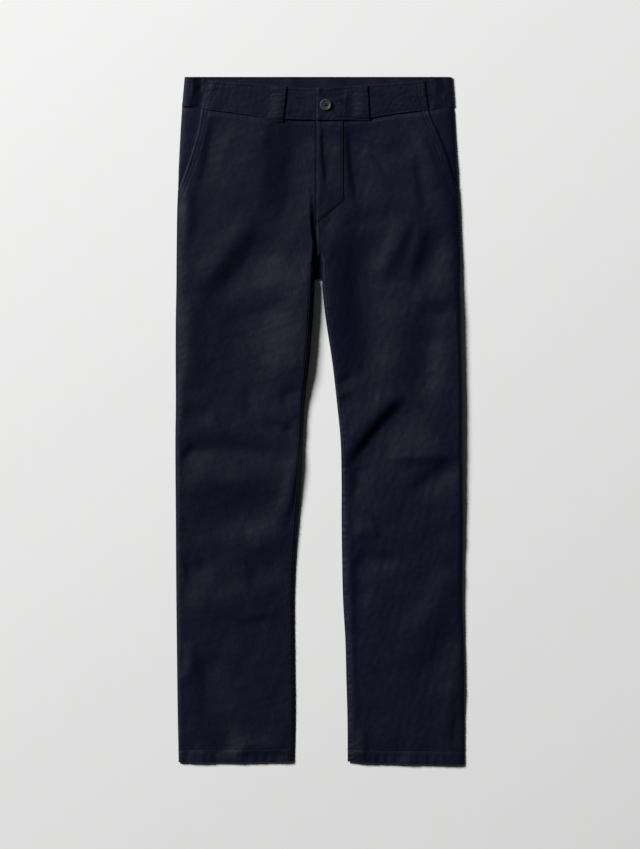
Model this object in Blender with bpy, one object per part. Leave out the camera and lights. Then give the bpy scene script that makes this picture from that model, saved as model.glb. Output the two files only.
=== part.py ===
"""Chino trousers laid flat on a surface, front up.

The origin is on the surface under the middle of the garment, +Y runs to the waist and +Z is up.
Left and right are the wearer's, so the right leg lies at -X and the left leg at +X.
Sizes are millimetres, and every mesh is turned to metres where it is made.
"""

import math
from collections import namedtuple

import bmesh
import bpy

MM = 0.001

# Cloth and gaps
CLOTH_WALL = 1.5          # fronts, the thinnest place
BACK_WALL = 1.2           # backs, which lie on the surface
FACING_WALL = 1.2
BAND_WALL = 2.2           # waistband: two layers and interlining
BAND_BACK_WALL = 1.9
LOOP_WALL = 1.4
ZIP_WALL = 1.0
SEAM_GAP = 0.3            # between two pieces that are sewn together
BAND_SEAM_GAP = 0.5       # between the fronts and the curved foot of the waistband
LAP_GAP = 0.4             # between two curved pieces that lie on each other
FACING_GAP = 0.7          # between a pocket facing and the front over it
AIR_GAP = 4.0             # most air between a front and the back under it

# Levels above the surface
BACK_TOP = BACK_WALL
FOOT = BACK_TOP + SEAM_GAP            # where a rolled front edge comes down on the back
LOOP_BACK_TOP = 1.0                   # back belt loops, which lie on the surface
BAND_BACK_UNDER = LOOP_BACK_TOP + SEAM_GAP
BAND_TOP = 8.0                        # front waistband
BAND_LAP_TOP = BAND_TOP + BAND_WALL + SEAM_GAP
BAND_SIDE_TOP = 7.3
HEIGHT_LOW = 3.2                      # lowest and highest places of a front between its edges
HEIGHT_HIGH = 8.2

# Closures and trim
FLY_RISE = 0.8            # the fly's facing doubles the left front
FLY_WIDTH = 41.0
FLY_TURN_Y = 345.9        # where the fly's curved end starts
FLY_END_Y = 312.0
FLY_EDGE = 3.0            # the doubled cloth of the fly comes up over this width
HEM_DEPTH = 19.0
HEM_RISE = 0.6
HEM_EDGE = 2.0            # the doubled cloth of the hem comes up over this width
BUTTON_X = 8.9
BUTTON_Y = 493.3
BUTTON_RADIUS = 9.0
BUTTON_THICK = 2.8
BUTTON_SIDES = 36
BUTTON_HOLES = 4
BUTTON_HOLE_RADIUS = 0.9
BUTTON_HOLE_OUT = 2.0
LOOP_WIDTH = 26.0
LOOP_SLACK = 1.1          # how far a loop's middle stands off the band
LOOP_END_TURN = 11.0      # length of the turned-in end at the top
LOOP_TURN_RISE = 0.5      # the turned-in end is this much thicker
LOOP_EDGE_DROP = 0.4      # a loop's long edges are pressed down by this much
BACK_LOOP_INSET = 0.5     # a back loop stops this far inside the band's edges
ZIP_WIDTH = 32.0
ZIP_LENGTH = 112.0
ZIP_OFFSET = 6.0          # the zip lies this far to the left of the fly's edge
ZIP_GAP = 0.6             # between the zip and the fronts over it

# Where the pieces end along the garment
CENTRE_FRONT_X = -4.2
CROTCH_SHIFT = 4.4        # below the fly the centre seam moves this far to the left,
CROTCH_SHIFT_LENGTH = 34.0  # over this stretch
FRONT_CROTCH_Y = 262.0
INSEAM_TOP_Y = 246.0
INSEAM_ROUND_Y = 300.0    # the fronts' inner edges start to round down here
INSEAM_ROUND_LENGTH = 60.0
BACK_CROTCH_Y = 220.5
BACK_CENTRE_X = -3.3
BAND_BACK_TOP_Y = 537.0
BAND_BACK_LOW_Y = 490.8
POCKET_LOW_Y = 361.0
YOKE_LOW_Y = 423.0        # the rows of a front follow the waistband down to here
HEM_START_Y = -500.0      # and follow the hem from here to the row that is the hem
HEM_END_Y = -530.0
ROW_STEP = 16.0
MIDDLE_COLUMNS = 8
BACK_ROW_STEP = 80.0
POCKET_UNDERLAP = 12.0
POCKET_TURN = 24.0        # length of the opening's lower end, over the rounded side
POCKET_TURN_ROWS = 4
POCKET_TUCK = 8.0         # the facing has dipped under the front this far outside the opening
BAND_UNDERLAP = 12.0      # the back band runs on this far under the front band's lap
BAND_DIP_START = 8.0      # and has come down to that level this far outside the lap's edge
BAND_DIP_END = 1.5
LAP_END_X = -5.6          # free end of the left half of the waistband, over the right half
EXTENSION_END_X = 38.0    # the right half runs on under it to here
LAP_RAMP_X = 40.0         # the left half comes down to the common level over this stretch
LAP_RAMP_LENGTH = 8.0
BAND_STEP = 9.0
BACK_INSET = 0.6          # a back's edge lies this far inside the rolled edge over it
FOLD_FADE = 3.0           # how fast a fold comes up from its ends,
FOLD_END_SHARE = 0.35     # where it starts with about this share of its run done

# Rounding of the leg's edges, measured along X
SIDE_ROLL = 11.0
INSEAM_ROLL = 12.0

# One row for each section across the legs: the garment's edges and the height of the cloth
Section = namedtuple("Section", "y right_side right_inseam left_inseam left_side crown")
SECTIONS = (
    Section(537, -211.2, -9.5, 2.0, 205.2, 6.9),
    Section(491, -215.2, -9.5, 2.0, 208.6, 6.9),
    Section(423, -219.2, -9.5, 2.0, 212.0, 7.0),
    Section(345, -222.6, -9.5, 2.0, 217.0, 7.0),
    Section(262, -223.9, -9.8, 2.0, 219.4, 7.0),
    Section(211, -224.2, -8.7, 3.4, 219.3, 6.8),
    Section(158, -225.2, -11.1, 8.9, 220.2, 6.8),
    Section(95, -225.4, -16.5, 18.6, 221.2, 6.8),
    Section(33, -225.1, -23.6, 25.7, 222.5, 6.8),
    Section(-29, -225.8, -26.7, 31.8, 222.4, 6.6),
    Section(-92, -225.6, -28.9, 33.4, 222.9, 6.6),
    Section(-154, -225.1, -33.7, 33.4, 223.6, 6.4),
    Section(-216, -224.8, -38.2, 34.2, 222.9, 6.2),
    Section(-279, -224.3, -40.3, 35.7, 222.5, 6.1),
    Section(-341, -223.6, -39.9, 39.3, 224.2, 6.0),
    Section(-404, -222.9, -39.3, 40.9, 225.5, 5.8),
    Section(-466, -222.0, -38.9, 42.6, 224.8, 5.4),
    Section(-536, -220.4, -40.6, 42.9, 225.1, 5.0),
)

# One row for each large fold: how far it rises or sinks, its two ends, how far its middle bows
# to the left of its run, and its half width
Fold = namedtuple("Fold", "rise x0 y0 x1 y1 bow width")
RIGHT_FOLDS = (
    Fold(-2.6, -44, 462, -62, 275, -8, 15),       # hip hollow under the belt loop
    Fold(+1.2, -92, 450, -88, 330, 0, 16),        # hip
    Fold(+1.5, -36, 380, -14, 245, 4, 9),         # swell beside the crotch
    Fold(-4.0, -12, 336, -3, 262, 0, 5),          # crease into the crotch
    Fold(+1.6, -112, 322, -218, 208, -8, 13),     # long drag line from hip to side
    Fold(-3.6, -96, 312, -198, 182, -10, 13),     # hollow under it
    Fold(+1.8, -16, 242, -154, 190, 8, 10),       # ridge running out from the crotch
    Fold(-1.8, -26, 205, -150, 176, -6, 10),
    Fold(-2.2, -122, 150, -128, -10, 0, 34),      # broad hollow of the thigh
    Fold(-1.6, -24, 72, -70, 60, 0, 8),
    Fold(-1.8, -216, -58, -62, -48, 14, 8),       # knee: crease above the ridge
    Fold(+1.9, -212, -78, -66, -96, 6, 13),       # knee ridge
    Fold(-1.6, -196, -112, -78, -112, 0, 18),
    Fold(+1.6, -214, -268, -122, -284, 0, 12),    # calf ridge
    Fold(+1.2, -122, -298, -58, -286, 0, 8),
    Fold(-1.4, -196, -350, -192, -436, 0, 9),
)
LEFT_FOLDS = (
    Fold(-1.3, 48, 425, 98, 388, 10, 8),          # arc beside the fly
    Fold(+1.2, 60, 436, 108, 384, 12, 7),
    Fold(-1.4, 142, 396, 164, 316, 0, 8),
    Fold(+1.4, 130, 310, 88, 214, 4, 11),         # two short ridges on the hip
    Fold(+1.4, 156, 310, 124, 236, 4, 8),
    Fold(-3.0, 166, 312, 126, 236, 14, 11),
    Fold(-2.6, 38, 285, 48, 130, 0, 20),          # inner thigh hollow
    Fold(-2.0, 140, 170, 156, 40, 0, 26),
    Fold(+1.3, 164, 196, 216, 208, 0, 9),
    Fold(+1.8, 126, 42, 44, -52, 12, 13),         # strongest fold, from knee to inseam
    Fold(-4.4, 142, 30, 70, -70, 10, 11),
    Fold(+1.8, 172, -8, 160, -46, 0, 22),         # kneecap
    Fold(-2.0, 216, -56, 128, -120, 14, 11),
    Fold(-1.4, 64, -198, 118, -220, 0, 11),
    Fold(+1.9, 196, -220, 130, -352, -10, 13),    # calf ridge
    Fold(-1.3, 196, -318, 168, -366, 0, 12),
    Fold(-1.5, 208, -440, 202, -498, 0, 7),
)

# Curves across the garment, as points (x, y)
BAND_LOW = (
    (-220, 490.8), (-201, 490.8), (-175, 485.5), (-125, 478.5), (-86, 473.0), (-5, 468.9),
    (47, 469.1), (78, 472.2), (109, 477.7), (170, 485.5), (201, 490.8), (220, 490.8),
)
BAND_HIGH = (
    (-220, 537.0), (-205, 536.4), (-175, 532.3), (-153, 529.9), (-125, 528.4), (-91, 526.0),
    (-56, 522.1), (-31, 520.1), (8, 520.1), (31, 521.4), (62, 524.5), (93, 526.0),
    (164, 532.3), (198, 536.0), (220, 537.0),
)
HEM = (
    (-222, -532.0), (-109, -531.6), (-55, -530.6), (-40, -528.6),
    (43, -528.8), (60, -532.4), (156, -534.3), (226, -535.6),
)

# Pocket openings and the lapped ends of the waistband over them, as points (y, x)
RIGHT_OPENING = (
    (361, -221.5), (384, -212.3), (412, -202.2), (431, -196.5), (454, -190.5), (486, -185.4),
    (509, -181.5), (537, -174.0),
)
LEFT_OPENING = (
    (361, 215.6), (384, 206.6), (412, 198.0), (450, 184.0), (482, 171.6), (488, 169.3),
    (509, 166.5), (537, 164.0),
)

# Left and right edges of the front belt loops at their upper and lower ends
LoopPlace = namedtuple("LoopPlace", "name top_x low_x low_y")
FRONT_LOOPS = (
    LoopPlace("belt_loop_front_right", -64.5, -70.7, 466.0),
    LoopPlace("belt_loop_front_left", 61.5, 64.4, 468.2),
)
BACK_LOOPS = (
    ("belt_loop_back_right", -118.0),
    ("belt_loop_back_centre", BACK_CENTRE_X),
    ("belt_loop_back_left", 112.0),
)


# ---------------------------------------------------------------- curves and heights

def along(points, at):
    """Value at a place on a curve of (place, value) points, smooth through each of them."""
    last = len(points) - 1
    if at <= points[0][0]:
        return points[0][1]
    if at >= points[last][0]:
        return points[last][1]
    index = 0
    while points[index + 1][0] < at:
        index += 1

    def slope(point):
        low = max(point - 1, 0)
        high = min(point + 1, last)
        return (points[high][1] - points[low][1]) / (points[high][0] - points[low][0])

    start, value0 = points[index]
    end, value1 = points[index + 1]
    span = end - start
    t = (at - start) / span
    return ((2 * t**3 - 3 * t**2 + 1) * value0 + (t**3 - 2 * t**2 + t) * span * slope(index)
            + (3 * t**2 - 2 * t**3) * value1 + (t**3 - t**2) * span * slope(index + 1))


def section_value(column, y):
    """A column of the section table at a height along the garment."""
    return along([(row.y, getattr(row, column)) for row in reversed(SECTIONS)], y)


def ease(t):
    """0 to 1 with soft ends."""
    t = min(max(t, 0.0), 1.0)
    return t * t * (3 - 2 * t)


def mix(a, b, t):
    return a + (b - a) * t


def side_x(side, y):
    return section_value("right_side" if side < 0 else "left_side", y)


def opening_x(side, y):
    return along(RIGHT_OPENING if side < 0 else LEFT_OPENING, y)


def centre_front_x(y):
    """The seam between the two fronts: straight down the fly, then over to the crotch point."""
    return CENTRE_FRONT_X + CROTCH_SHIFT * ease((FLY_END_Y - y) / CROTCH_SHIFT_LENGTH)


def front_inner_x(side, y):
    """A front's inner edge: the centre seam down to the crotch, then the inseam."""
    seam = centre_front_x(y) + side * SEAM_GAP / 2
    inseam = section_value("right_inseam" if side < 0 else "left_inseam", y)
    return mix(seam, inseam, ease((FRONT_CROTCH_Y - y) / (FRONT_CROTCH_Y - INSEAM_TOP_Y)))


def fold_height(fold, x, y):
    """Height that one fold adds at a point: full along its middle, fading at both ends."""
    run_x = fold.x1 - fold.x0
    run_y = fold.y1 - fold.y0
    length = math.hypot(run_x, run_y)
    t = ((x - fold.x0) * run_x + (y - fold.y0) * run_y) / length**2
    aside = (run_x * (y - fold.y0) - run_y * (x - fold.x0)) / length
    aside -= fold.bow * (1 - (2 * t - 1)**2)
    over = max(-t, t - 1, 0.0) * length / fold.width
    fade = ease(min(t, 1 - t) * FOLD_FADE + FOLD_END_SHARE)
    return fold.rise * fade * math.exp(-(aside / fold.width)**2 - over**2)


def cloth_height(side, x, y):
    """Top of a front between its edges: the crown and the folds, softly kept in their range."""
    folds = RIGHT_FOLDS if side < 0 else LEFT_FOLDS
    height = section_value("crown", y) + sum(fold_height(fold, x, y) for fold in folds)
    middle = (HEIGHT_LOW + HEIGHT_HIGH) / 2
    reach = (HEIGHT_HIGH - HEIGHT_LOW) / 2
    height = middle + reach * math.tanh((height - middle) / reach)
    hem_line = along(HEM, x) + HEM_DEPTH
    return height + HEM_RISE * ease((hem_line - y) / HEM_EDGE)


def fly_share(x, y):
    """1 on the fly's doubled cloth, 0 off it, with a short soft edge."""
    slope_line = mix(FLY_END_Y, FLY_TURN_Y, (x - CENTRE_FRONT_X) / FLY_WIDTH)
    across = ease((CENTRE_FRONT_X + FLY_WIDTH - x) / FLY_EDGE + 0.5)
    return across * ease((y - slope_line) / (2 * FLY_EDGE) + 0.5)


def underside(top):
    """Underside of a front: one wall down, or as low as the air gap over the back allows."""
    return min(top - CLOTH_WALL, BACK_TOP + AIR_GAP)


def roll(distance, radius):
    """Share of the full height at a distance inside a rounded edge."""
    if distance >= radius:
        return 1.0
    return math.sqrt(max(1 - (1 - distance / radius)**2, 0.0))


# ---------------------------------------------------------------- meshes

def new_object(name, mesh, material):
    mesh.materials.append(material)
    mesh.shade_smooth()
    mesh.set_sharp_from_angle(angle=math.radians(40))
    part = bpy.data.objects.new(name, mesh)
    bpy.context.scene.collection.objects.link(part)
    return part


def wall(name, rows, material):
    """One closed wall. Each row holds (outer point, inner point) pairs across the cloth."""
    shell = bmesh.new()
    outer = [[shell.verts.new([value * MM for value in pair[0]]) for pair in row] for row in rows]
    inner = [[shell.verts.new([value * MM for value in pair[1]]) for pair in row] for row in rows]
    last_row = len(rows) - 1
    last_column = len(rows[0]) - 1
    for row in range(last_row):
        for column in range(last_column):
            for skin in (outer, inner):
                shell.faces.new((skin[row][column], skin[row][column + 1],
                                 skin[row + 1][column + 1], skin[row + 1][column]))
        for column in (0, last_column):
            shell.faces.new((outer[row][column], outer[row + 1][column],
                             inner[row + 1][column], inner[row][column]))
    for column in range(last_column):
        for row in (0, last_row):
            shell.faces.new((outer[row][column], outer[row][column + 1],
                             inner[row][column + 1], inner[row][column]))
    bmesh.ops.triangulate(shell, faces=shell.faces[:])
    bmesh.ops.recalc_face_normals(shell, faces=shell.faces[:])
    mesh = bpy.data.meshes.new(name)
    shell.to_mesh(mesh)
    shell.free()
    return new_object(name, mesh, material)


def make_material(name, red, green, blue, roughness):
    material = bpy.data.materials.new(name)
    material.use_nodes = True
    shader = material.node_tree.nodes["Principled BSDF"]
    shader.inputs["Base Color"].default_value = (red, green, blue, 1.0)
    shader.inputs["Roughness"].default_value = roughness
    shader.inputs["Metallic"].default_value = 0.0
    return material


# ---------------------------------------------------------------- leg panels

# Distances of the close columns from the side and from the inner edge, and of the backs' and
# facings' columns as shares of their width
SIDE_STEPS = (0.0, 0.8, 3.0, 7.0, 13.0)
INNER_STEPS = (0.0, 0.8, 3.0, 7.0, 13.0, 25.0, FLY_WIDTH - 1.5, FLY_WIDTH + 2.5)
BACK_SHARES = (0.0, 0.33, 0.67, 1.0)
FACING_SHARES = (0.0, 0.03, 0.10, 0.22, 0.40, 0.55, 0.75, 1.0)


def column_shares(width):
    """Places across a front as shares of its width: close at the edges, even between."""
    from_inner = [step / width for step in INNER_STEPS]
    from_side = [1 - step / width for step in reversed(SIDE_STEPS)]
    first = from_inner[-1]
    last = from_side[0]
    middle = [mix(first, last, step / (MIDDLE_COLUMNS + 1)) for step in range(1, MIDDLE_COLUMNS + 1)]
    return from_inner + middle + from_side


def row_heights(stops, step):
    """Heights from the first stop down to the last, no further apart than the step."""
    heights = []
    for high, low in zip(stops, stops[1:]):
        count = math.ceil((high - low) / step)
        heights += [mix(high, low, index / count) for index in range(count)]
    return heights + [stops[-1]]


def pocket_rows():
    """Rows beside the pocket, close together where its opening runs into the rounded side."""
    turn_y = POCKET_LOW_Y + POCKET_TURN
    return (row_heights((BAND_BACK_LOW_Y, YOKE_LOW_Y, turn_y), ROW_STEP)[:-1]
            + row_heights((turn_y, POCKET_LOW_Y), POCKET_TURN / POCKET_TURN_ROWS))


def front_pair(side, x, y):
    """Outer and inner point of a front, rounded down at the side and along the inseam."""
    top = cloth_height(side, x, y)
    if side > 0:
        top += FLY_RISE * fly_share(x, y)
    under = underside(top)
    thick = top - under
    from_side = abs(side_x(side, y) - x)
    from_inner = abs(x - front_inner_x(side, y))
    inseam_round = ease((INSEAM_ROUND_Y - y) / INSEAM_ROUND_LENGTH)
    inner_share = mix(1.0, roll(from_inner, INSEAM_ROLL), inseam_round)
    share = min(roll(from_side, SIDE_ROLL), inner_share)
    inward = thick * max(1 - from_side / SIDE_ROLL, 0.0) * -side
    inward += thick * max(1 - from_inner / INSEAM_ROLL, 0.0) * inseam_round * side
    return ((x, y, FOOT + (top - FOOT) * share),
            (x + inward, y, FOOT + (under - FOOT) * share))


def garment_y(x, height):
    """A row's Y: it follows the waistband at the top and the hem at the foot."""
    if height > YOKE_LOW_Y:
        top_line = along(BAND_LOW, x) - BAND_SEAM_GAP
        share = (height - YOKE_LOW_Y) / (BAND_BACK_LOW_Y - YOKE_LOW_Y)
        return mix(YOKE_LOW_Y, top_line, share)
    if height < HEM_START_Y:
        share = (HEM_START_Y - height) / (HEM_START_Y - HEM_END_Y)
        return mix(HEM_START_Y, along(HEM, x), share)
    return height


def make_front(side, name, material):
    """A trouser front, from the waistband to the hem, with its corner cut away for the pocket."""
    stops = (POCKET_LOW_Y, FLY_END_Y, FRONT_CROTCH_Y, INSEAM_TOP_Y, HEM_START_Y)
    heights = pocket_rows()[:-1] + row_heights(stops, ROW_STEP)
    heights += [HEM_END_Y + HEM_DEPTH, HEM_END_Y + HEM_DEPTH - HEM_EDGE, HEM_END_Y]
    rows = []
    for height in heights:
        inner_edge = front_inner_x(side, height)
        outer_edge = side_x(side, height)
        if height > POCKET_LOW_Y:
            outer_edge = opening_x(side, garment_y(opening_x(side, height), height))
        shares = column_shares(abs(outer_edge - inner_edge))
        row = []
        for share in shares:
            x = mix(inner_edge, outer_edge, share)
            row.append(front_pair(side, x, garment_y(x, height)))
        rows.append(row)
    return wall(name, rows, material)


def make_back(side, name, material):
    """A trouser back, flat on the surface, from the back waistband to the hem."""
    heights = row_heights((BAND_BACK_LOW_Y - SEAM_GAP, BACK_CROTCH_Y + SEAM_GAP), BACK_ROW_STEP)
    heights += row_heights((BACK_CROTCH_Y - SEAM_GAP, HEM_START_Y), BACK_ROW_STEP)
    heights.append(HEM_END_Y)
    rows = []
    for height in heights:
        outer_edge = side_x(side, height) - side * BACK_INSET
        if height > BACK_CROTCH_Y:
            inner_edge = BACK_CENTRE_X + side * SEAM_GAP / 2
        else:
            inseam = section_value("right_inseam" if side < 0 else "left_inseam", height)
            inner_edge = inseam + side * BACK_INSET
        row = []
        for share in BACK_SHARES:
            x = mix(inner_edge, outer_edge, share)
            y = height if height > HEM_START_Y else garment_y(x, height)
            row.append(((x, y, BACK_TOP), (x, y, 0.0)))
        rows.append(row)
    return wall(name, rows, material)


def make_facing(side, name, material):
    """The pocket facing: it fills the corner outside the opening and runs in under the front."""
    heights = pocket_rows() + [POCKET_LOW_Y - POCKET_UNDERLAP]
    rows = []
    for height in heights:
        edge = side_x(side, height)
        y_here = garment_y(edge, height)
        to_opening = abs(edge - opening_x(side, y_here)) if height > POCKET_LOW_Y else 0.0
        width = to_opening + POCKET_UNDERLAP
        row = []
        for share in FACING_SHARES:
            distance = width * share
            x = edge - side * distance
            y = garment_y(x, height)
            top = cloth_height(side, x, y)
            lap = top - underside(top) + FACING_GAP
            hidden = 1.0
            if to_opening > POCKET_TUCK:
                hidden = ease(distance / (to_opening - POCKET_TUCK))
            inward = lap * hidden
            top -= lap * hidden
            lean = max(1 - distance / SIDE_ROLL, 0.0)
            lift = roll(distance, SIDE_ROLL)
            outer_x = x - side * inward * lean
            inner_x = outer_x - side * FACING_WALL * lean
            row.append(((outer_x, y, FOOT + (top - FOOT) * lift),
                        (inner_x, y, FOOT + (top - FACING_WALL - FOOT) * lift)))
        rows.append(row)
    return wall(name, rows, material)


# ---------------------------------------------------------------- waistband

BAND_EDGE_SHARE = 0.06    # the band's folded edges are a little thinner over this share of it
BAND_EDGE_DROP = 0.5
BAND_SHARES = (0.0, BAND_EDGE_SHARE, 0.35, 0.65, 1 - BAND_EDGE_SHARE, 1.0)
BAND_TURN = SIDE_ROLL - 1.0           # the back band's turn lies just inside the sides' rounding
BAND_TURN_ANGLES = (90, 60, 30, 0, -30, -60, -90)
BAND_BACK_COLUMNS = 6


def band_y(x, share):
    return mix(along(BAND_LOW, x), along(BAND_HIGH, x), share)


def band_edge_drop(share):
    return BAND_EDGE_DROP * (1 - ease(min(share, 1 - share) / BAND_EDGE_SHARE))


def band_level(side, x):
    """Top of the front waistband: the left half steps up where it laps over the right."""
    if side < 0:
        return BAND_TOP
    return mix(BAND_LAP_TOP, BAND_TOP, ease((x - LAP_RAMP_X) / LAP_RAMP_LENGTH))


def make_band_front(name, side, inner_end, material):
    """One half of the front waistband, from its end at the fly to the lap over the pocket."""
    steps = math.ceil(abs(opening_x(side, BAND_BACK_LOW_Y) - inner_end) / BAND_STEP)
    rows = []
    for share in BAND_SHARES:
        lap_end = opening_x(side, mix(BAND_BACK_LOW_Y, BAND_BACK_TOP_Y, share))
        row = []
        for step in range(steps + 1):
            x = mix(inner_end, lap_end, step / steps)
            y = band_y(x, share)
            level = band_level(side, x)
            row.append(((x, y, level - band_edge_drop(share)), (x, y, level - BAND_WALL)))
        rows.append(row)
    return wall(name, rows, material)


def make_band_back(name, material):
    """The back waistband: flat under the body, turned up and over at both sides to the laps."""
    lap_level = BAND_TOP - BAND_WALL - LAP_GAP
    dip_level = (lap_level + BAND_SIDE_TOP) / 2

    def side_stations(side, share):
        y_side = mix(BAND_BACK_LOW_Y, BAND_BACK_TOP_Y, share)
        edge = side_x(side, y_side)
        to_lap = abs(edge - opening_x(side, y_side))
        front = ((to_lap + BAND_UNDERLAP, lap_level), (to_lap - BAND_DIP_END, lap_level),
                 (to_lap - BAND_DIP_START, dip_level),
                 ((to_lap - BAND_DIP_START + BAND_TURN) / 2, BAND_SIDE_TOP))
        pairs = []
        for distance, level in front:
            x = edge - side * distance
            y = band_y(x, share)
            pairs.append(((x, y, level), (x, y, level - BAND_BACK_WALL)))
        middle = (BAND_SIDE_TOP + BAND_BACK_UNDER) / 2
        rise = (BAND_SIDE_TOP - BAND_BACK_UNDER) / 2
        for angle in BAND_TURN_ANGLES:
            out = math.cos(math.radians(angle))
            up = math.sin(math.radians(angle))
            outer_x = edge - side * BAND_TURN * (1 - out)
            inner_x = edge - side * (BAND_BACK_WALL + (BAND_TURN - BAND_BACK_WALL) * (1 - out))
            y = mix(y_side, band_y(outer_x, share), (angle + 90) / 180)
            pairs.append(((outer_x, y, middle + rise * up),
                          (inner_x, y, middle + (rise - BAND_BACK_WALL) * up)))
        return pairs

    rows = []
    for share in BAND_SHARES:
        right = side_stations(-1, share)
        left = side_stations(1, share)
        y_back = mix(BAND_BACK_LOW_Y, BAND_BACK_TOP_Y, share)
        back = []
        for step in range(1, BAND_BACK_COLUMNS):
            x = mix(right[-1][0][0], left[-1][0][0], step / BAND_BACK_COLUMNS)
            back.append(((x, y_back, BAND_BACK_UNDER), (x, y_back, BAND_BACK_UNDER + BAND_BACK_WALL)))
        rows.append(right + back + left[::-1])
    return wall(name, rows, material)


# ---------------------------------------------------------------- loops, zip and button

# A loop's rows as shares of its length, close where its ends are held and where the turned-in end
# stops, and its columns as shares of half its width, with 1 where the edge is pressed down
LOOP_ROWS = (0.0, 0.05, 0.12, 0.3, 0.5, 0.68, 0.78, 0.82, 0.97, 1.0)
LOOP_COLUMNS = ((-1, 1), (-0.9, 0), (0, 0), (0.9, 0), (1, 1))
LOOP_RISE_SHARE = 0.2     # the loop comes off the band over this share at the foot
LOOP_FALL_SHARE = 0.3     # and goes back to it over this share at the top
ZIP_ROWS = 6
ZIP_COLUMNS = (-0.5, -0.17, 0.17, 0.5)

# The button's turned profile from the rim inwards: how far inside the rim, and how high
BUTTON_UNDERSIDE = ((1.2, 0.0), (0.2, 0.7), (0.0, 1.5))
BUTTON_FACE = ((0.3, 2.3), (1.2, BUTTON_THICK), (2.2, BUTTON_THICK - 0.1),
               (3.4, BUTTON_THICK - 1.0), (4.2, BUTTON_THICK - 1.2))


def make_front_loop(place, material):
    """A front belt loop: a flat strip held at both ends, its middle a little off the band."""
    top_y = along(BAND_HIGH, place.top_x) - BACK_LOOP_INSET
    length = top_y - place.low_y
    rows = []
    for share in LOOP_ROWS:
        along_y = place.low_y + length * share
        centre = mix(place.low_x, place.top_x, share)
        stand = LOOP_SLACK * ease(min(share / LOOP_RISE_SHARE, (1 - share) / LOOP_FALL_SHARE))
        turned = LOOP_TURN_RISE * ease((share - 1) * length / 2 + LOOP_END_TURN / 2)
        base = BAND_TOP + SEAM_GAP + stand
        row = []
        for across, pressed in LOOP_COLUMNS:
            x = centre + across * LOOP_WIDTH / 2
            top = base + LOOP_WALL + turned - pressed * LOOP_EDGE_DROP
            row.append(((x, along_y, top), (x, along_y, base)))
        rows.append(row)
    return wall(place.name, rows, material)


def make_back_loop(name, centre, material):
    """A back belt loop, pressed flat under the back waistband."""
    rows = []
    low = BAND_BACK_LOW_Y + BACK_LOOP_INSET
    high = BAND_BACK_TOP_Y - BACK_LOOP_INSET
    for y in (low, (low + high) / 2, high):
        row = []
        for across in (-0.5, 0.0, 0.5):
            x = centre + across * LOOP_WIDTH
            row.append(((x, y, LOOP_BACK_TOP), (x, y, 0.0)))
        rows.append(row)
    return wall(name, rows, material)


def make_zip(name, material):
    """The closed fly zip: one plain strip of tape under both fronts, following their underside."""
    top_y = along(BAND_LOW, CENTRE_FRONT_X) - 4 * BAND_SEAM_GAP
    rows = []
    for step in range(ZIP_ROWS + 1):
        y = top_y - ZIP_LENGTH * step / ZIP_ROWS
        row = []
        for across in ZIP_COLUMNS:
            x = centre_front_x(y) + ZIP_OFFSET + across * ZIP_WIDTH
            over = min(underside(cloth_height(-1, x, y)), underside(cloth_height(1, x, y)))
            row.append(((x, y, over - ZIP_GAP), (x, y, over - ZIP_GAP - ZIP_WALL)))
        rows.append(row)
    return wall(name, rows, material)


def make_button(name, material):
    """A sew-through trouser button: rounded rim, sunk middle, flat underside."""
    base = BAND_LAP_TOP + SEAM_GAP
    profile = [(0.0, 0.0)]
    profile += [(BUTTON_RADIUS - inset, level) for inset, level in BUTTON_UNDERSIDE + BUTTON_FACE]
    profile.append((0.0, BUTTON_FACE[-1][1]))
    shape = bmesh.new()
    points = [shape.verts.new((radius * MM, 0.0, level * MM)) for radius, level in profile]
    for first, second in zip(points, points[1:]):
        shape.edges.new((first, second))
    bmesh.ops.spin(shape, geom=shape.verts[:] + shape.edges[:], cent=(0, 0, 0), axis=(0, 0, 1),
                   angle=math.tau, steps=BUTTON_SIDES, use_merge=True)
    bmesh.ops.remove_doubles(shape, verts=shape.verts[:], dist=0.00001)
    bmesh.ops.recalc_face_normals(shape, faces=shape.faces[:])
    bmesh.ops.translate(shape, verts=shape.verts[:], vec=(BUTTON_X * MM, BUTTON_Y * MM, base * MM))
    mesh = bpy.data.meshes.new(name)
    shape.to_mesh(mesh)
    shape.free()
    button = new_object(name, mesh, material)
    for index in range(BUTTON_HOLES):
        angle = math.tau * (index + 0.5) / BUTTON_HOLES
        drill = bmesh.new()
        bmesh.ops.create_cone(drill, cap_ends=True, segments=12, depth=3 * BUTTON_THICK * MM,
                              radius1=BUTTON_HOLE_RADIUS * MM, radius2=BUTTON_HOLE_RADIUS * MM)
        place = ((BUTTON_X + BUTTON_HOLE_OUT * math.cos(angle)) * MM,
                 (BUTTON_Y + BUTTON_HOLE_OUT * math.sin(angle)) * MM,
                 (base + BUTTON_THICK / 2) * MM)
        bmesh.ops.translate(drill, verts=drill.verts[:], vec=place)
        drill_mesh = bpy.data.meshes.new(f"button_drill_{index + 1}")
        drill.to_mesh(drill_mesh)
        drill.free()
        cutter = bpy.data.objects.new(drill_mesh.name, drill_mesh)
        bpy.context.scene.collection.objects.link(cutter)
        cutter.hide_render = True
        cutter.display_type = "WIRE"
        cut = button.modifiers.new(f"hole_{index + 1}", "BOOLEAN")
        cut.operation = "DIFFERENCE"
        cut.object = cutter
    return button


# ---------------------------------------------------------------- assembly

def clear_scene():
    for item in list(bpy.data.objects):
        bpy.data.objects.remove(item, do_unlink=True)


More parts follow.
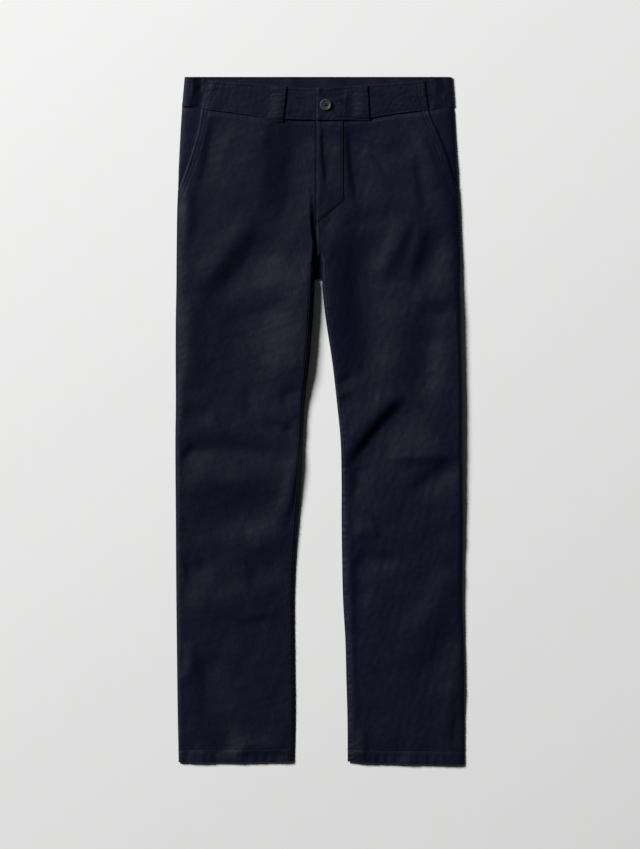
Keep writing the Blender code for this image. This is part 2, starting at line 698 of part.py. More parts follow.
def make_trousers():
    twill = make_material("navy_cotton_twill", 0.0097, 0.0103, 0.0185, 0.85)
    tape = make_material("navy_zip_tape", 0.008, 0.009, 0.016, 0.7)
    resin = make_material("grey_button_resin", 0.055, 0.062, 0.06, 0.4)

    for side, hand in ((-1, "right"), (1, "left")):
        make_back(side, f"back_panel_{hand}", twill)
        make_front(side, f"front_panel_{hand}", twill)
        make_facing(side, f"pocket_facing_{hand}", twill)

    make_band_back("waistband_back", twill)
    make_band_front("waistband_front_right", -1, EXTENSION_END_X, twill)
    make_band_front("waistband_front_left", 1, LAP_END_X, twill)

    for place in FRONT_LOOPS:
        make_front_loop(place, twill)
    for name, centre in BACK_LOOPS:
        make_back_loop(name, centre, twill)
    make_zip("fly_zip", tape)
    make_button("waist_button", resin)


clear_scene()
make_trousers()
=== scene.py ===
import math

import bmesh
import bpy
import numpy as np
from collections import namedtuple
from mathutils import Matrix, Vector


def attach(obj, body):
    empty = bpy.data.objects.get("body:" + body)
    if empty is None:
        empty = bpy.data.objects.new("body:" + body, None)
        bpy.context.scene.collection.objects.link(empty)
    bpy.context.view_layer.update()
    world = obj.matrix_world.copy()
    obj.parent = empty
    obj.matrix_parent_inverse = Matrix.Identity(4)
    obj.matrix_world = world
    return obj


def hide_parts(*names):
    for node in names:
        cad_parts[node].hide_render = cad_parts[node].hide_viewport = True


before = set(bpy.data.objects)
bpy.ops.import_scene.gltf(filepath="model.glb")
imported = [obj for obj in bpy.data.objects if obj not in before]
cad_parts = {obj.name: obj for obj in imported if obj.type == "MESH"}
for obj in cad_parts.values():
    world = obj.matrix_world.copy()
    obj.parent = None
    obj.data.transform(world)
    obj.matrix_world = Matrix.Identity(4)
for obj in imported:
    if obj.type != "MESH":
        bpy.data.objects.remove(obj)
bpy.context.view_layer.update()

# Chino trousers laid flat, front up. Left and right are the wearer's: the right leg lies at -X.
# Sizes are millimetres until a mesh is made. Z is the height above the surface they lie on.
MM = 0.001


# ------------------------------------------------------------
# Cotton twill: a dense steep diagonal weave, dyed navy in the piece and brushed on its face. The
# nap makes it matt, and no two patches are quite as dark.
# ------------------------------------------------------------

TWILL_NAVY = "#080c1f"
TWILL_ROUGHNESS = 0.56
TWILL_SPECULAR = 0.14
RIB_PITCH = 1.1               # the real ribs are some 0.6 apart, too fine to show
RIB_SLANT = math.radians(27)
RIB_WEIGHT = 0.35             # weight of the ribs in the relief, against 1 for the yarn
YARN_SIZE = 3.4               # unevenness of the yarn
YARN_DARKEST, YARN_PALEST = 0.62, 1.38
NAP_SIZE = 7.0                # patches where the nap lies differently
NAP_DARKEST, NAP_PALEST = 0.80, 1.20
TWILL_RELIEF = 0.35
WAVE_TURNS = 20.0             # a wave texture of scale 1 has a band each tau / 20 metres


def linear(hex_colour):
    """An sRGB hex colour as linear RGBA."""
    channels = [int(hex_colour[i:i + 2], 16) / 255 for i in (1, 3, 5)]
    return [c / 12.92 if c <= 0.04045 else ((c + 0.055) / 1.055) ** 2.4 for c in channels] + [1.0]


def new_material(name, roughness, specular):
    """A material whose tree holds its Principled shader and output alone, and that shader."""
    material = bpy.data.materials.new(name)
    material.use_nodes = True
    shader = material.node_tree.nodes["Principled BSDF"]
    shader.inputs["Roughness"].default_value = roughness
    shader.inputs["Specular IOR Level"].default_value = specular
    return material, shader


def node(tree, kind, links=(), **settings):
    """Adds a node. Settings are its properties, or its inputs where the name is one, or in_N by
    number. Links are (input, output socket) pairs."""
    made = tree.nodes.new(kind)
    for key, value in settings.items():
        if key.startswith("in_"):
            made.inputs[int(key[3:])].default_value = value
        elif key in made.inputs:
            made.inputs[key].default_value = value
        else:
            setattr(made, key, value)
    for target, source in links:
        tree.links.new(made.inputs[target], source)
    return made


def twill_material(name, turn):
    """Twill whose ribs are turned by an angle, as on pieces cut across the cloth."""
    material, shader = new_material(name, TWILL_ROUGHNESS, TWILL_SPECULAR)
    tree = material.node_tree
    place = node(tree, "ShaderNodeUVMap", uv_map="cloth")
    grain = node(tree, "ShaderNodeMapping", [("Vector", place.outputs[0])],
                 Rotation=(0.0, 0.0, RIB_SLANT + turn))
    on_piece = node(tree, "ShaderNodeTexCoord").outputs["Object"]
    ribs = node(tree, "ShaderNodeTexWave", [("Vector", grain.outputs[0])], wave_type="BANDS",
                bands_direction="X", Scale=math.tau / WAVE_TURNS / (RIB_PITCH * MM),
                Distortion=1.6, Detail=2.0)
    yarn = node(tree, "ShaderNodeTexNoise", [("Vector", on_piece)], Scale=1 / (YARN_SIZE * MM),
                Detail=3.0, Roughness=0.65)
    nap = node(tree, "ShaderNodeTexNoise", [("Vector", on_piece)], Scale=1 / (NAP_SIZE * MM),
               Detail=2.0, Roughness=0.5)
    patches = node(tree, "ShaderNodeMix", [("Factor", nap.outputs[0])], data_type="FLOAT",
                   in_2=NAP_DARKEST, in_3=NAP_PALEST)
    grains = node(tree, "ShaderNodeMix", [("Factor", yarn.outputs[0])], data_type="FLOAT",
                  in_2=YARN_DARKEST, in_3=YARN_PALEST)
    both = node(tree, "ShaderNodeMath", [(0, patches.outputs[0]), (1, grains.outputs[0])],
                operation="MULTIPLY")
    shade = node(tree, "ShaderNodeVectorMath", [("Scale", both.outputs[0])], operation="SCALE",
                 in_0=linear(TWILL_NAVY)[:3])
    tree.links.new(shader.inputs["Base Color"], shade.outputs[0])
    relief = node(tree, "ShaderNodeMath", [(0, ribs.outputs["Fac"]), (2, yarn.outputs[0])],
                  operation="MULTIPLY_ADD", in_1=RIB_WEIGHT)
    bump = node(tree, "ShaderNodeBump", [("Height", relief.outputs[0])], Strength=0.25,
                Distance=TWILL_RELIEF * MM)
    tree.links.new(shader.inputs["Normal"], bump.outputs[0])
    return material


twill = twill_material("navy_brushed_cotton_twill", 0.0)
twill_across = twill_material("navy_brushed_cotton_twill_cut_across", math.pi / 2)


# ------------------------------------------------------------
# Both legs lie as flattened tubes of cloth, a front over a back. Here are the shape of their
# outer surface, its rounded edges, and the folds that lying and handling have left in it.
# ------------------------------------------------------------

CLOTH = 0.9                   # one layer of twill
LOWEST_FACE = 1.3             # seams and rows of stitching sink no lower than this
THINNEST_LEG = 2.2            # and folds in a leg no lower than this
HEM_Y = -532.0
HEM_ROWS_Y = -500.0           # below here the rows of cloth turn to follow the hem
CROTCH_Y = 220.5
POCKET_FOOT_Y = (335.0, 385.0)
BAND_BACK_FOOT_Y = 490.8
BAND_BACK_TOP_Y = 537.0
SIDE_SHARE = 0.38             # a side seam lies at this share of the cloth's height,
LEFT_HIP_SINK = 0.26          # and this much lower at the left hip
LEFT_HIP_Y = (230.0, 310.0)

# Heights of the cloth at six places across the legs, for sections along the garment
Heights = namedtuple("Heights", "y right_side right_middle right_inner left_inner left_middle left_side")
HEIGHTS = (
    Heights(490, 7.0, 9.2, 9.8, 9.6, 9.0, 8.2),
    Heights(345, 8.5, 9.4, 10.0, 9.6, 9.4, 11.2),
    Heights(250, 9.0, 9.8, 12.0, 11.6, 9.6, 10.4),
    Heights(142, 9.5, 10.8, 12.6, 12.8, 10.4, 11.7),
    Heights(60, 9.5, 10.6, 12.2, 12.4, 10.8, 11.7),
    Heights(-29, 9.0, 10.0, 11.4, 9.4, 10.4, 11.4),
    Heights(-92, 8.5, 9.0, 9.8, 7.8, 9.6, 10.6),
    Heights(-185, 7.6, 8.0, 7.6, 6.8, 8.4, 8.8),
    Heights(-279, 7.0, 7.2, 6.0, 6.2, 7.6, 7.3),
    Heights(-404, 6.2, 6.4, 5.6, 5.6, 6.6, 6.4),
    Heights(-532, 5.0, 5.2, 5.0, 5.0, 5.4, 5.4),
)

# Widths over which each edge rounds down to its seam, and the share of the cloth's height at
# which each inseam lies, highest at the right thigh and lowest at the right hem
Rounding = namedtuple("Rounding", "y right_side right_inner right_seam left_seam left_inner left_side")
ROUNDING = (
    Rounding(490, 22, 6, 0.40, 0.40, 6, 44),
    Rounding(345, 16, 6, 0.50, 0.50, 6, 30),
    Rounding(250, 18, 6, 0.70, 0.55, 5, 22),
    Rounding(200, 20, 8, 0.75, 0.55, 4, 12),
    Rounding(142, 20, 9, 0.75, 0.55, 4, 8),
    Rounding(60, 16, 8, 0.70, 0.50, 4, 8),
    Rounding(0, 10, 7, 0.45, 0.45, 4, 8),
    Rounding(-92, 8, 7, 0.30, 0.50, 6, 8),
    Rounding(-279, 8, 7, 0.24, 0.55, 7, 11),
    Rounding(-532, 7, 7, 0.24, 0.70, 7, 12),
)

# The deep crease where the right front rolls down into the crotch: where its wall starts, how
# much of the way down it goes, and the level of its floor
Crease = namedtuple("Crease", "y wall_x share floor")
CREASE = (
    Crease(392, -17.0, 0.00, 6.0),
    Crease(352, -17.0, 0.30, 5.4),
    Crease(330, -15.8, 0.75, 4.8),
    Crease(298, -14.2, 1.00, 4.0),
    Crease(283, -12.6, 1.00, 3.8),
    Crease(259, -12.0, 1.00, 3.4),
    Crease(236, -12.5, 1.00, 3.0),
    Crease(214, -13.0, 0.00, 3.0),
)

# One row for each fold: how far it rises (or sinks), its half width on its upper left side
# and on its lower right side, and three points that it runs through
Fold = namedtuple("Fold", "rise above below x0 y0 x1 y1 x2 y2")
RIGHT_FOLDS = (
    # hip: a line beside the pocket, a broad swell, a hollow before the fly, a ridge at the side
    Fold(-2.2, 8, 24, -168, 475, -172, 425, -190, 345),
    Fold(+2.4, 45, 16, -90, 485, -90, 410, -98, 325),
    Fold(-4.8, 22, 50, -40, 480, -42, 405, -60, 285),
    Fold(+1.6, 9, 9, -206, 370, -206, 320, -208, 270),
    # seat: two drag lines down to the side, each a ridge with a hollow under it
    Fold(+3.0, 26, 15, -106, 318, -140, 270, -202, 196),
    Fold(-4.2, 17, 46, -88, 296, -120, 240, -184, 178),
    Fold(+0.9, 28, 16, -30, 230, -88, 212, -152, 184),
    Fold(-2.0, 17, 40, -34, 190, -90, 166, -165, 140),
    # thigh: a ridge along the side, a broad hollow, one high ridge at the inseam, short creases
    Fold(+2.2, 12, 20, -202, 190, -201, 120, -210, 50),
    Fold(-3.0, 60, 100, -124, 215, -124, 110, -124, -18),
    Fold(+7.6, 52, 11, -17, 262, -23, 140, -33, 18),
    Fold(+1.0, 20, 10, -84, 82, -50, 86, -30, 88),
    Fold(-2.0, 12, 16, -66, 36, -46, 42, -28, 50),
    Fold(-1.8, 8, 14, -90, -2, -62, -10, -30, -16),
    Fold(-1.0, 9, 14, -114, 62, -110, 35, -112, 5),
    Fold(-1.0, 6, 8, -58, -6, -44, -20, -28, -26),
    Fold(-1.5, 10, 12, -214, 14, -190, 12, -165, 14),
    # knee: cloth bunched across the leg
    Fold(-3.4, 15, 18, -216, -66, -150, -42, -46, -68),
    Fold(-1.8, 5, 9, -217, -62, -204, -48, -192, -40),
    Fold(+3.4, 22, 22, -210, -84, -148, -92, -62, -98),
    Fold(-3.6, 28, 24, -200, -150, -133, -150, -62, -138),
    Fold(+3.0, 15, 6, -35, -36, -42, -98, -60, -166),
    Fold(+2.4, 24, 18, -116, -192, -80, -186, -46, -174),
    Fold(-2.2, 18, 20, -118, -232, -88, -230, -56, -224),
    Fold(-2.2, 14, 18, -214, -232, -195, -230, -168, -226),
    # calf and hem
    Fold(+3.0, 30, 26, -215, -282, -150, -284, -62, -272),
    Fold(+1.4, 10, 8, -122, -298, -90, -300, -56, -292),
    Fold(-1.0, 7, 12, -132, -314, -105, -316, -80, -312),
    Fold(+1.8, 10, 10, -204, -342, -202, -372, -206, -410),
    Fold(-2.6, 14, 28, -178, -362, -176, -416, -180, -482),
    Fold(-2.8, 24, 16, -148, -456, -148, -492, -148, -526),
    Fold(+2.4, 16, 8, -138, -514, -100, -510, -52, -510),
)
LEFT_FOLDS = (
    # fly: a line down the zip, one under the curved stitching, a low swell, the drop beside the fly
    Fold(-2.0, 3, 18, 5, 463, 6, 415, 12, 358),
    Fold(-0.7, 3, 7, 22, 318, 11, 310, 1, 302),
    Fold(+1.2, 16, 18, 50, 329, 27, 295, 13, 248),
    Fold(-3.6, 7, 30, 48, 466, 50, 405, 61, 332),
    # hip: soft lines below the waistband, and a swell and a line at the pocket
    Fold(-1.4, 7, 14, 50, 438, 82, 420, 104, 380),
    Fold(-1.4, 6, 14, 152, 425, 156, 375, 166, 326),
    Fold(+3.4, 26, 20, 160, 462, 176, 412, 196, 364),
    Fold(-1.0, 5, 9, 166, 444, 180, 412, 192, 376),
    # seat: two ridges side by side, the hollow after them, and a ridge and a crease at the side
    Fold(+4.0, 20, 14, 138, 320, 116, 267, 88, 212),
    Fold(+1.6, 10, 10, 156, 312, 150, 272, 136, 236),
    Fold(-4.4, 16, 26, 178, 306, 172, 256, 144, 204),
    Fold(+1.4, 20, 8, 140, 190, 175, 190, 214, 194),
    Fold(-1.4, 9, 12, 150, 172, 178, 166, 208, 172),
    # thigh: a deep hollow beside the inseam, one at the side, and short creases at the inseam
    Fold(-9.0, 34, 42, 58, 300, 70, 170, 72, 36),
    Fold(-5.6, 32, 26, 168, 165, 163, 95, 158, 30),
    Fold(-2.4, 7, 18, 24, 56, 38, 62, 56, 74),
    Fold(-1.8, 7, 16, 28, 24, 42, 34, 56, 44),
    # knee: one sharp fold across the leg, and the cloth that it pulls with it
    Fold(+3.2, 26, 10, 131, 44, 82, -2, 30, -74),
    Fold(-6.4, 12, 60, 144, 34, 95, -12, 43, -85),
    Fold(+3.4, 34, 9, 104, -54, 160, -55, 218, -48),
    Fold(-3.6, 13, 22, 218, -70, 176, -88, 134, -126),
    Fold(-2.4, 9, 16, 58, -70, 58, -92, 52, -128),
    Fold(+2.2, 16, 12, 50, -168, 74, -172, 94, -166),
    Fold(-2.8, 13, 20, 58, -206, 84, -214, 126, -220),
    Fold(-1.2, 9, 14, 58, -214, 61, -254, 62, -300),
    # calf and hem
    Fold(+2.6, 22, 26, 204, -222, 180, -290, 126, -362),
    Fold(-2.4, 18, 26, 198, -312, 184, -368, 136, -402),
    Fold(+1.0, 14, 9, 208, -396, 204, -440, 198, -490),
    Fold(-1.6, 6, 14, 212, -450, 211, -480, 208, -512),
    Fold(+1.6, 10, 8, 64, -478, 66, -505, 66, -530),
    Fold(-1.2, 14, 12, 130, -488, 128, -512, 126, -534),
    Fold(+0.8, 7, 5, 46, -140, 50, -310, 56, -498),
)
UPWARD_X, UPWARD_Y = -0.8, 0.6          # towards the upper left of the garment as it lies
HAND = {-1: "right", 1: "left"}

# Faint unevenness: a seed, the shortest and the longest wave, how many waves, and their depth
Ripples = namedtuple("Ripples", "seed shortest longest count depth")
LEG_RIPPLES = (Ripples(11, 14, 70, 30, 0.45), Ripples(21, 5, 14, 40, 0.14))


def smooth(places, values):
    """A smooth curve through points, level past its ends."""
    order = np.argsort(places)
    places = np.array(places, float)[order]
    values = np.array(values, float)[order]
    slopes = np.gradient(values, places)

    def value(at):
        at = np.clip(at, places[0], places[-1])
        index = np.clip(np.searchsorted(places, at) - 1, 0, len(places) - 2)
        span = places[index + 1] - places[index]
        t = (at - places[index]) / span
        return ((2 * t**3 - 3 * t**2 + 1) * values[index] + (t**3 - 2 * t**2 + t) * span * slopes[index]
                + (3 * t**2 - 2 * t**3) * values[index + 1] + (t**3 - t**2) * span * slopes[index + 1])
    return value


def columns_of(table):
    """Each column of a table as a smooth curve over its first column."""
    places = [row[0] for row in table]
    return {name: smooth(places, [getattr(row, name) for row in table]) for name in table[0]._fields[1:]}


def edge_of(name, axis, start, end, step, which):
    """The lower (0) or upper (1) edge of a CAD node, as a smooth curve over X (0) or Y (1)."""
    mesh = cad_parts[name].data
    points = np.array([vertex.co for vertex in mesh.vertices]) / MM
    ends = points[np.array([edge.vertices for edge in mesh.edges])]
    places, values = [], []
    for place in np.arange(start, end + step / 2, step):
        before, after = ends[:, 0, axis] - place, ends[:, 1, axis] - place
        cut = (before * after <= 0) & (before != after)
        if cut.any():
            share = before[cut] / (before[cut] - after[cut])
            met = ends[cut, 0, 1 - axis] + (ends[cut, 1, 1 - axis] - ends[cut, 0, 1 - axis]) * share
            places.append(place)
            values.append(met.max() if which else met.min())
    values = np.array(values)
    values[1:-1] = (values[:-2] + 2 * values[1:-1] + values[2:]) / 4
    return smooth(places, values)


def edges_of(name, start, end, step, outermost=True):
    """The outermost or innermost X of a node over Y, by hand, -1 for right and 1 for left."""
    return {side: edge_of(name.format(HAND[side]), 1, start, end, step, (side > 0) == outermost)
            for side in (-1, 1)}


def joined(*columns):
    """Points from a column for each axis. One number stands for a whole column."""
    return np.stack(np.broadcast_arrays(*columns), -1)


def ease(t):
    t = np.clip(t, 0.0, 1.0)
    return t * t * (3 - 2 * t)


def mix(a, b, t):
    return a + (b - a) * t


def bell(distance, width):
    return np.exp(-(distance / width)**2)


def rounded(distance, width):
    """Share of the full height at a distance inside an edge that rounds down."""
    inside = np.clip(1 - distance / width, 0, 1)
    return np.sqrt(np.maximum(1 - inside**2.2, 0))


def rolled(distance, width, depth):
    """How far an edge that rolls down by a depth lies under the face, at a distance inside it."""
    return depth * (1 - rounded(distance, width))


def sloped(distance, width):
    """Share of the full height inside an edge that falls in an almost straight slope."""
    return 1 - np.clip(1 - distance / width, 0, 1)**1.35


def beside(path, x, y, reach):
    """How far points lie from a path, at what share of its run, and whether they are above it, that
    is on its upper left side. None is further off than the reach."""
    path = np.array(path, float)
    distance = np.full(x.shape, float(reach))
    share = np.zeros(x.shape)
    above = np.zeros(x.shape, bool)
    near = ((x > path[:, 0].min() - reach) & (x < path[:, 0].max() + reach)
            & (y > path[:, 1].min() - reach) & (y < path[:, 1].max() + reach))
    if not near.any():
        return distance, share, above
    px, py = x[near], y[near]
    best, run, over = np.full(px.shape, float(reach)), np.zeros(px.shape), np.zeros(px.shape, bool)
    for step in range(len(path) - 1):
        (ax, ay), (bx, by) = path[step], path[step + 1]
        s = np.clip(((px - ax) * (bx - ax) + (py - ay) * (by - ay)) / ((bx - ax)**2 + (by - ay)**2), 0, 1)
        off_x, off_y = px - ax - s * (bx - ax), py - ay - s * (by - ay)
        off = np.hypot(off_x, off_y)
        closer = off < best
        best[closer] = off[closer]
        over[closer] = (UPWARD_X * off_x + UPWARD_Y * off_y > 0)[closer]
        run[closer] = (step + s[closer]) / (len(path) - 1)
    distance[near], share[near], above[near] = best, run, over
    return distance, share, above


def fold_height(fold, x, y):
    """What one fold adds: a soft cross-section along a parabola through its three points."""
    t = np.linspace(0, 1, 17)
    a, b, c = 2 * (t - 0.5) * (t - 1), -4 * t * (t - 1), 2 * t * (t - 0.5)
    path = joined(a * fold.x0 + b * fold.x1 + c * fold.x2, a * fold.y0 + b * fold.y1 + c * fold.y2)
    distance, share, above = beside(path, x, y, 3 * max(fold.above, fold.below))
    fade = ease(np.minimum(share, 1 - share) * 2.6 + 0.16)
    return fold.rise * fade * bell(distance, np.where(above, fold.above, fold.below))


def ripples(x, y, kind, side=0):
    """Many low waves of random direction and length, drawn anew for each hand."""
    random = np.random.default_rng(kind.seed + side)
    total = np.zeros_like(x)
    for _ in range(kind.count):
        length = math.exp(random.uniform(math.log(kind.shortest), math.log(kind.longest)))
        angle = random.uniform(0, math.pi)
        phase = random.uniform(0, math.tau)
        wave = np.sin((x * math.cos(angle) + y * math.sin(angle)) * math.tau / length + phase)
        total += wave * (length / kind.longest)**0.8
    return total * kind.depth / math.sqrt(kind.count)


heights = columns_of(HEIGHTS)
roundings = columns_of(ROUNDING)
crease = columns_of(CREASE)
side_edge = edges_of("front_panel_{}", -522, 358, 4)
inner_edge = edges_of("front_panel_{}", -522, 466, 4, outermost=False)
facing_edge = edges_of("pocket_facing_{}", 356, 489, 3)
hem_line = {-1: edge_of("front_panel_right", 0, -214, -50, 6, 0),
            1: edge_of("front_panel_left", 0, 52, 216, 6, 0)}


def body_edge(side, y):
    """The outermost X of a leg or hip, which runs on straight past the foot of the pocket."""
    low, high = POCKET_FOOT_Y
    share = np.clip((y - low) / (high - low), 0, 1)
    straight = mix(side_edge[side](low), facing_edge[side](high), share)
    return np.where(y > high, facing_edge[side](y), np.where(y < low, side_edge[side](y), straight))


def side_share(side, y):
    """Share of the cloth's height at which a side seam lies. The left hip's is pulled down."""
    low, high = LEFT_HIP_Y
    return SIDE_SHARE - LEFT_HIP_SINK * ease((y - low) / (high - low)) * (side > 0)


def leg_height(side, x, y):
    """Height of the cloth's upper face, before its edges are rounded down."""
    hand = HAND[side]
    inner = inner_edge[side](y)
    across = np.clip((x - inner) / (body_edge(side, y) - inner), 0, 1)
    height = mix(heights[hand + "_inner"](y), heights[hand + "_middle"](y), ease(across * 2))
    height = mix(height, heights[hand + "_side"](y), ease(across * 2 - 1))
    for fold in RIGHT_FOLDS if side < 0 else LEFT_FOLDS:
        height = height + fold_height(fold, x, y)
    for kind in LEG_RIPPLES:
        height = height + ripples(x, y, kind, side)
    return np.maximum(height, THINNEST_LEG)


def leg_surface(side, x, y):
    """Height of the cloth's upper face with the side and the inseam rounded down to the seams."""
    hand = HAND[side]
    at_side = rounded(np.abs(body_edge(side, y) - x), roundings[hand + "_side"](y))
    at_inseam = sloped(np.abs(x - inner_edge[side](y)), roundings[hand + "_inner"](y))
    at_inseam = mix(1.0, at_inseam, ease((270 - y) / 30))
    share = np.minimum(mix(side_share(side, y), 1.0, at_side),
                       mix(roundings[hand + "_seam"](y), 1.0, at_inseam))
    return leg_height(side, x, y) * share


def add_object(name, data):
    made = bpy.data.objects.new(name, data)
    bpy.context.scene.collection.objects.link(made)
    return made


def shell(name, outer, thickness, material, faces_up=True):
    """A closed cloth wall from a grid of outer points, its inner face moved in along the normals.
    faces_up says whether the outer face looks up on the whole."""
    rows, columns, _ = outer.shape
    normal = np.cross(np.gradient(outer, axis=1), np.gradient(outer, axis=0))
    turn = 1 if (normal[..., 2].mean() > 0) == faces_up else -1
    normal *= turn
    normal /= np.maximum(np.linalg.norm(normal, axis=2, keepdims=True), 1e-9)
    points = np.concatenate([outer.reshape(-1, 3), (outer - normal * thickness).reshape(-1, 3)]) * MM
    index = np.arange(rows * columns).reshape(rows, columns)
    quads = np.stack([index[:-1, :-1], index[1:, :-1], index[1:, 1:], index[:-1, 1:]], -1).reshape(-1, 4)
    rim = np.concatenate([index[0], index[1:, -1], index[-1, -2::-1], index[-2:0:-1, 0]])
    after = np.roll(rim, -1)
    count = rows * columns
    faces = np.concatenate([quads, quads[:, ::-1] + count, joined(rim, after, after + count, rim + count)])
    if turn > 0:
        faces = faces[:, ::-1]
    mesh = bpy.data.meshes.new(name)
    mesh.from_pydata(points.tolist(), [], faces.tolist())
    middle = columns // 2
    across = np.linalg.norm(np.diff(outer, axis=1), axis=2)
    across = np.concatenate([np.zeros((rows, 1)), np.cumsum(across, axis=1)], 1)
    across = across - across[:, middle:middle + 1] + outer[:, middle:middle + 1, 0]
    down = np.linalg.norm(np.diff(outer, axis=0), axis=2)
    down = np.concatenate([np.zeros((1, columns)), np.cumsum(down, axis=0)], 0)
    place = np.tile(np.stack([across, down], -1).reshape(-1, 2) * MM, (2, 1))
    loops = np.empty(len(mesh.loops), dtype=np.int32)
    mesh.loops.foreach_get("vertex_index", loops)
    mesh.uv_layers.new(name="cloth").data.foreach_set("uv", place[loops].astype(np.float32).ravel())
    mesh.shade_smooth()
    mesh.set_sharp_from_angle(angle=math.radians(50))
    mesh.materials.append(material)
    return add_object(name, mesh)


def steps_between(start, end, step):
    return np.linspace(start, end, max(2, int(math.ceil(abs(end - start) / step)) + 1))


def cloth_piece(piece, nodes):
    """The calls that every piece of cloth needs: it joins the root body, and the CAD nodes that it stands
    for are hidden."""
    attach(piece, "root")
    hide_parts(*nodes)


# ------------------------------------------------------------
# The backs: one piece of twill for each leg, from the back waistband to the hem, lying on the
# surface. They are joined at the seat seam, and their edges turn up to the side seams and inseams.
# ------------------------------------------------------------

SEAT_SEAM_X = -3.3
BACK_EDGE_TURN = 7.0          # width over which a back's edge turns up
BACK_ROW_STEP = 6.0
BACK_INSET = 0.3              # its edges lie this far inside the front's
BACK_LIFT = 0.7               # soft creases lift the cloth this far off the surface
BACK_RIPPLES = Ripples(31, 30, 160, 18, 1.0)


def towards_hem(side, x, y, inset=0.0):
    """A row's Y near the hem, where the rows turn to follow it."""
    return mix(HEM_ROWS_Y, hem_line[side](x) + inset, (HEM_ROWS_Y - y) / (HEM_ROWS_Y - HEM_Y))


def turned_up(distance):
    """Share of the way up to the seam that a back has turned, at a distance inside its edge."""
    return 1 - np.sqrt(1 - np.clip(1 - np.abs(distance) / BACK_EDGE_TURN, 0, 1)**2)


def make_back(side):
    rows = np.concatenate([steps_between(BAND_BACK_FOOT_Y + 6, CROTCH_Y + 0.5, BACK_ROW_STEP),
                           steps_between(CROTCH_Y - 0.5, HEM_ROWS_Y, BACK_ROW_STEP),
                           steps_between(HEM_ROWS_Y, HEM_Y, 3.0)[1:]])
    turned = BACK_EDGE_TURN * (1 - np.cos(np.linspace(0, math.pi / 2, 6)))
    middle = np.linspace(0, 1, 40)[1:-1]
    grid = []
    for y in rows:
        outer = body_edge(side, y) - side * BACK_INSET
        below = y < CROTCH_Y
        inner = inner_edge[side](y) + side * BACK_INSET if below else SEAT_SEAM_X + side * 0.1
        first = inner + side * turned
        last = outer - side * turned[::-1]
        x = np.concatenate([first, mix(first[-1], last[0], middle), last])
        line = np.full_like(x, y)
        if y < HEM_ROWS_Y:
            line = towards_hem(side, x, y, 0.4)
        lift = BACK_LIFT * ease(ripples(x, line, BACK_RIPPLES, side) * 1.4 - 0.3)
        seam_level = leg_height(side, np.array([inner + side * 4, outer - side * 4]), np.array([y, y]))
        seam_level = seam_level * (roundings[HAND[side] + "_seam"](y), side_share(side, y)) - 0.35
        z = (lift + turned_up(outer - x) * (seam_level[1] - lift)
             + turned_up(x - inner) * below * (seam_level[0] - lift))
        grid.append(joined(x, line, np.maximum(z, 0)))
    piece = shell(f"back_{HAND[side]}", np.array(grid), CLOTH, twill, faces_up=False)
    cloth_piece(piece, [f"back_panel_{HAND[side]}"])


for side in (-1, 1):
    make_back(side)


# ------------------------------------------------------------
# The curves that the pocket openings and the waistband follow, and the pocket facings: each fills
# the corner outside its slanted opening and runs on inside, under the front's folded edge.
# ------------------------------------------------------------

# Pocket openings, and above them the ends of the front waistband's two halves
Opening = namedtuple("Opening", "y right left")
OPENINGS = (
    Opening(315, -240.0, 233.0),
    Opening(361, -221.5, 215.6),
    Opening(384, -212.3, 206.6),
    Opening(412, -202.2, 198.0),
    Opening(431, -196.5, 191.2),
    Opening(454, -190.5, 182.4),
    Opening(486, -185.4, 170.0),
    Opening(509, -181.5, 166.5),
    Opening(537, -174.0, 164.0),
)

# Foot, top and level of the front waistband, and how deep the seam at its foot is
BandEdges = namedtuple("BandEdges", "x foot top level dip")
BAND_EDGES = (
    BandEdges(-220, 490.8, 537.0, 8.2, 1.0),
    BandEdges(-201, 490.8, 536.1, 8.4, 1.0),
    BandEdges(-175, 485.5, 532.3, 8.8, 1.2),
    BandEdges(-150, 482.0, 529.7, 9.3, 1.4),
    BandEdges(-125, 478.5, 528.4, 9.8, 1.3),
    BandEdges(-86, 473.0, 525.6, 10.2, 1.0),
    BandEdges(-45, 470.5, 521.0, 10.4, 0.8),
    BandEdges(-5, 468.9, 520.0, 10.6, 0.7),
    BandEdges(20, 468.8, 520.6, 10.6, 1.0),
    BandEdges(47, 469.1, 523.0, 10.5, 0.9),
    BandEdges(78, 472.2, 525.4, 10.0, 1.8),
    BandEdges(109, 477.7, 526.9, 9.6, 1.8),
    BandEdges(170, 485.5, 532.9, 8.6, 1.6),
    BandEdges(201, 490.8, 536.3, 7.2, 1.2),
    BandEdges(220, 490.8, 537.0, 6.4, 1.2),
)

POCKET_LOW_Y = 361.0
YOKE_LOW_Y = 423.0            # rows of cloth follow the waistband down to here
FACING_DROP = 1.8             # a facing lies this far under the front's face at the opening
FACING_UNDERLAP = 14.0
BAND_TUCK = 5.0               # the cloth below runs on this far inside the waistband

openings = columns_of(OPENINGS)
band_edges = columns_of(BAND_EDGES)


def opening_x(side, y):
    return openings[HAND[side]](y)


def yoke_line(x, place):
    """A row's Y: level at the hip, and along the foot of the waistband at the top."""
    share = np.maximum((place - YOKE_LOW_Y) / (BAND_BACK_FOOT_Y + BAND_TUCK - YOKE_LOW_Y), 0)
    return mix(place if place < YOKE_LOW_Y else YOKE_LOW_Y, band_edges["foot"](x) + BAND_TUCK, share)


def press_at_band(x, y):
    """How far the waistband's foot presses the cloth under it down."""
    return band_edges["dip"](x) * ease((y - band_edges["foot"](x) + 7) / 6)


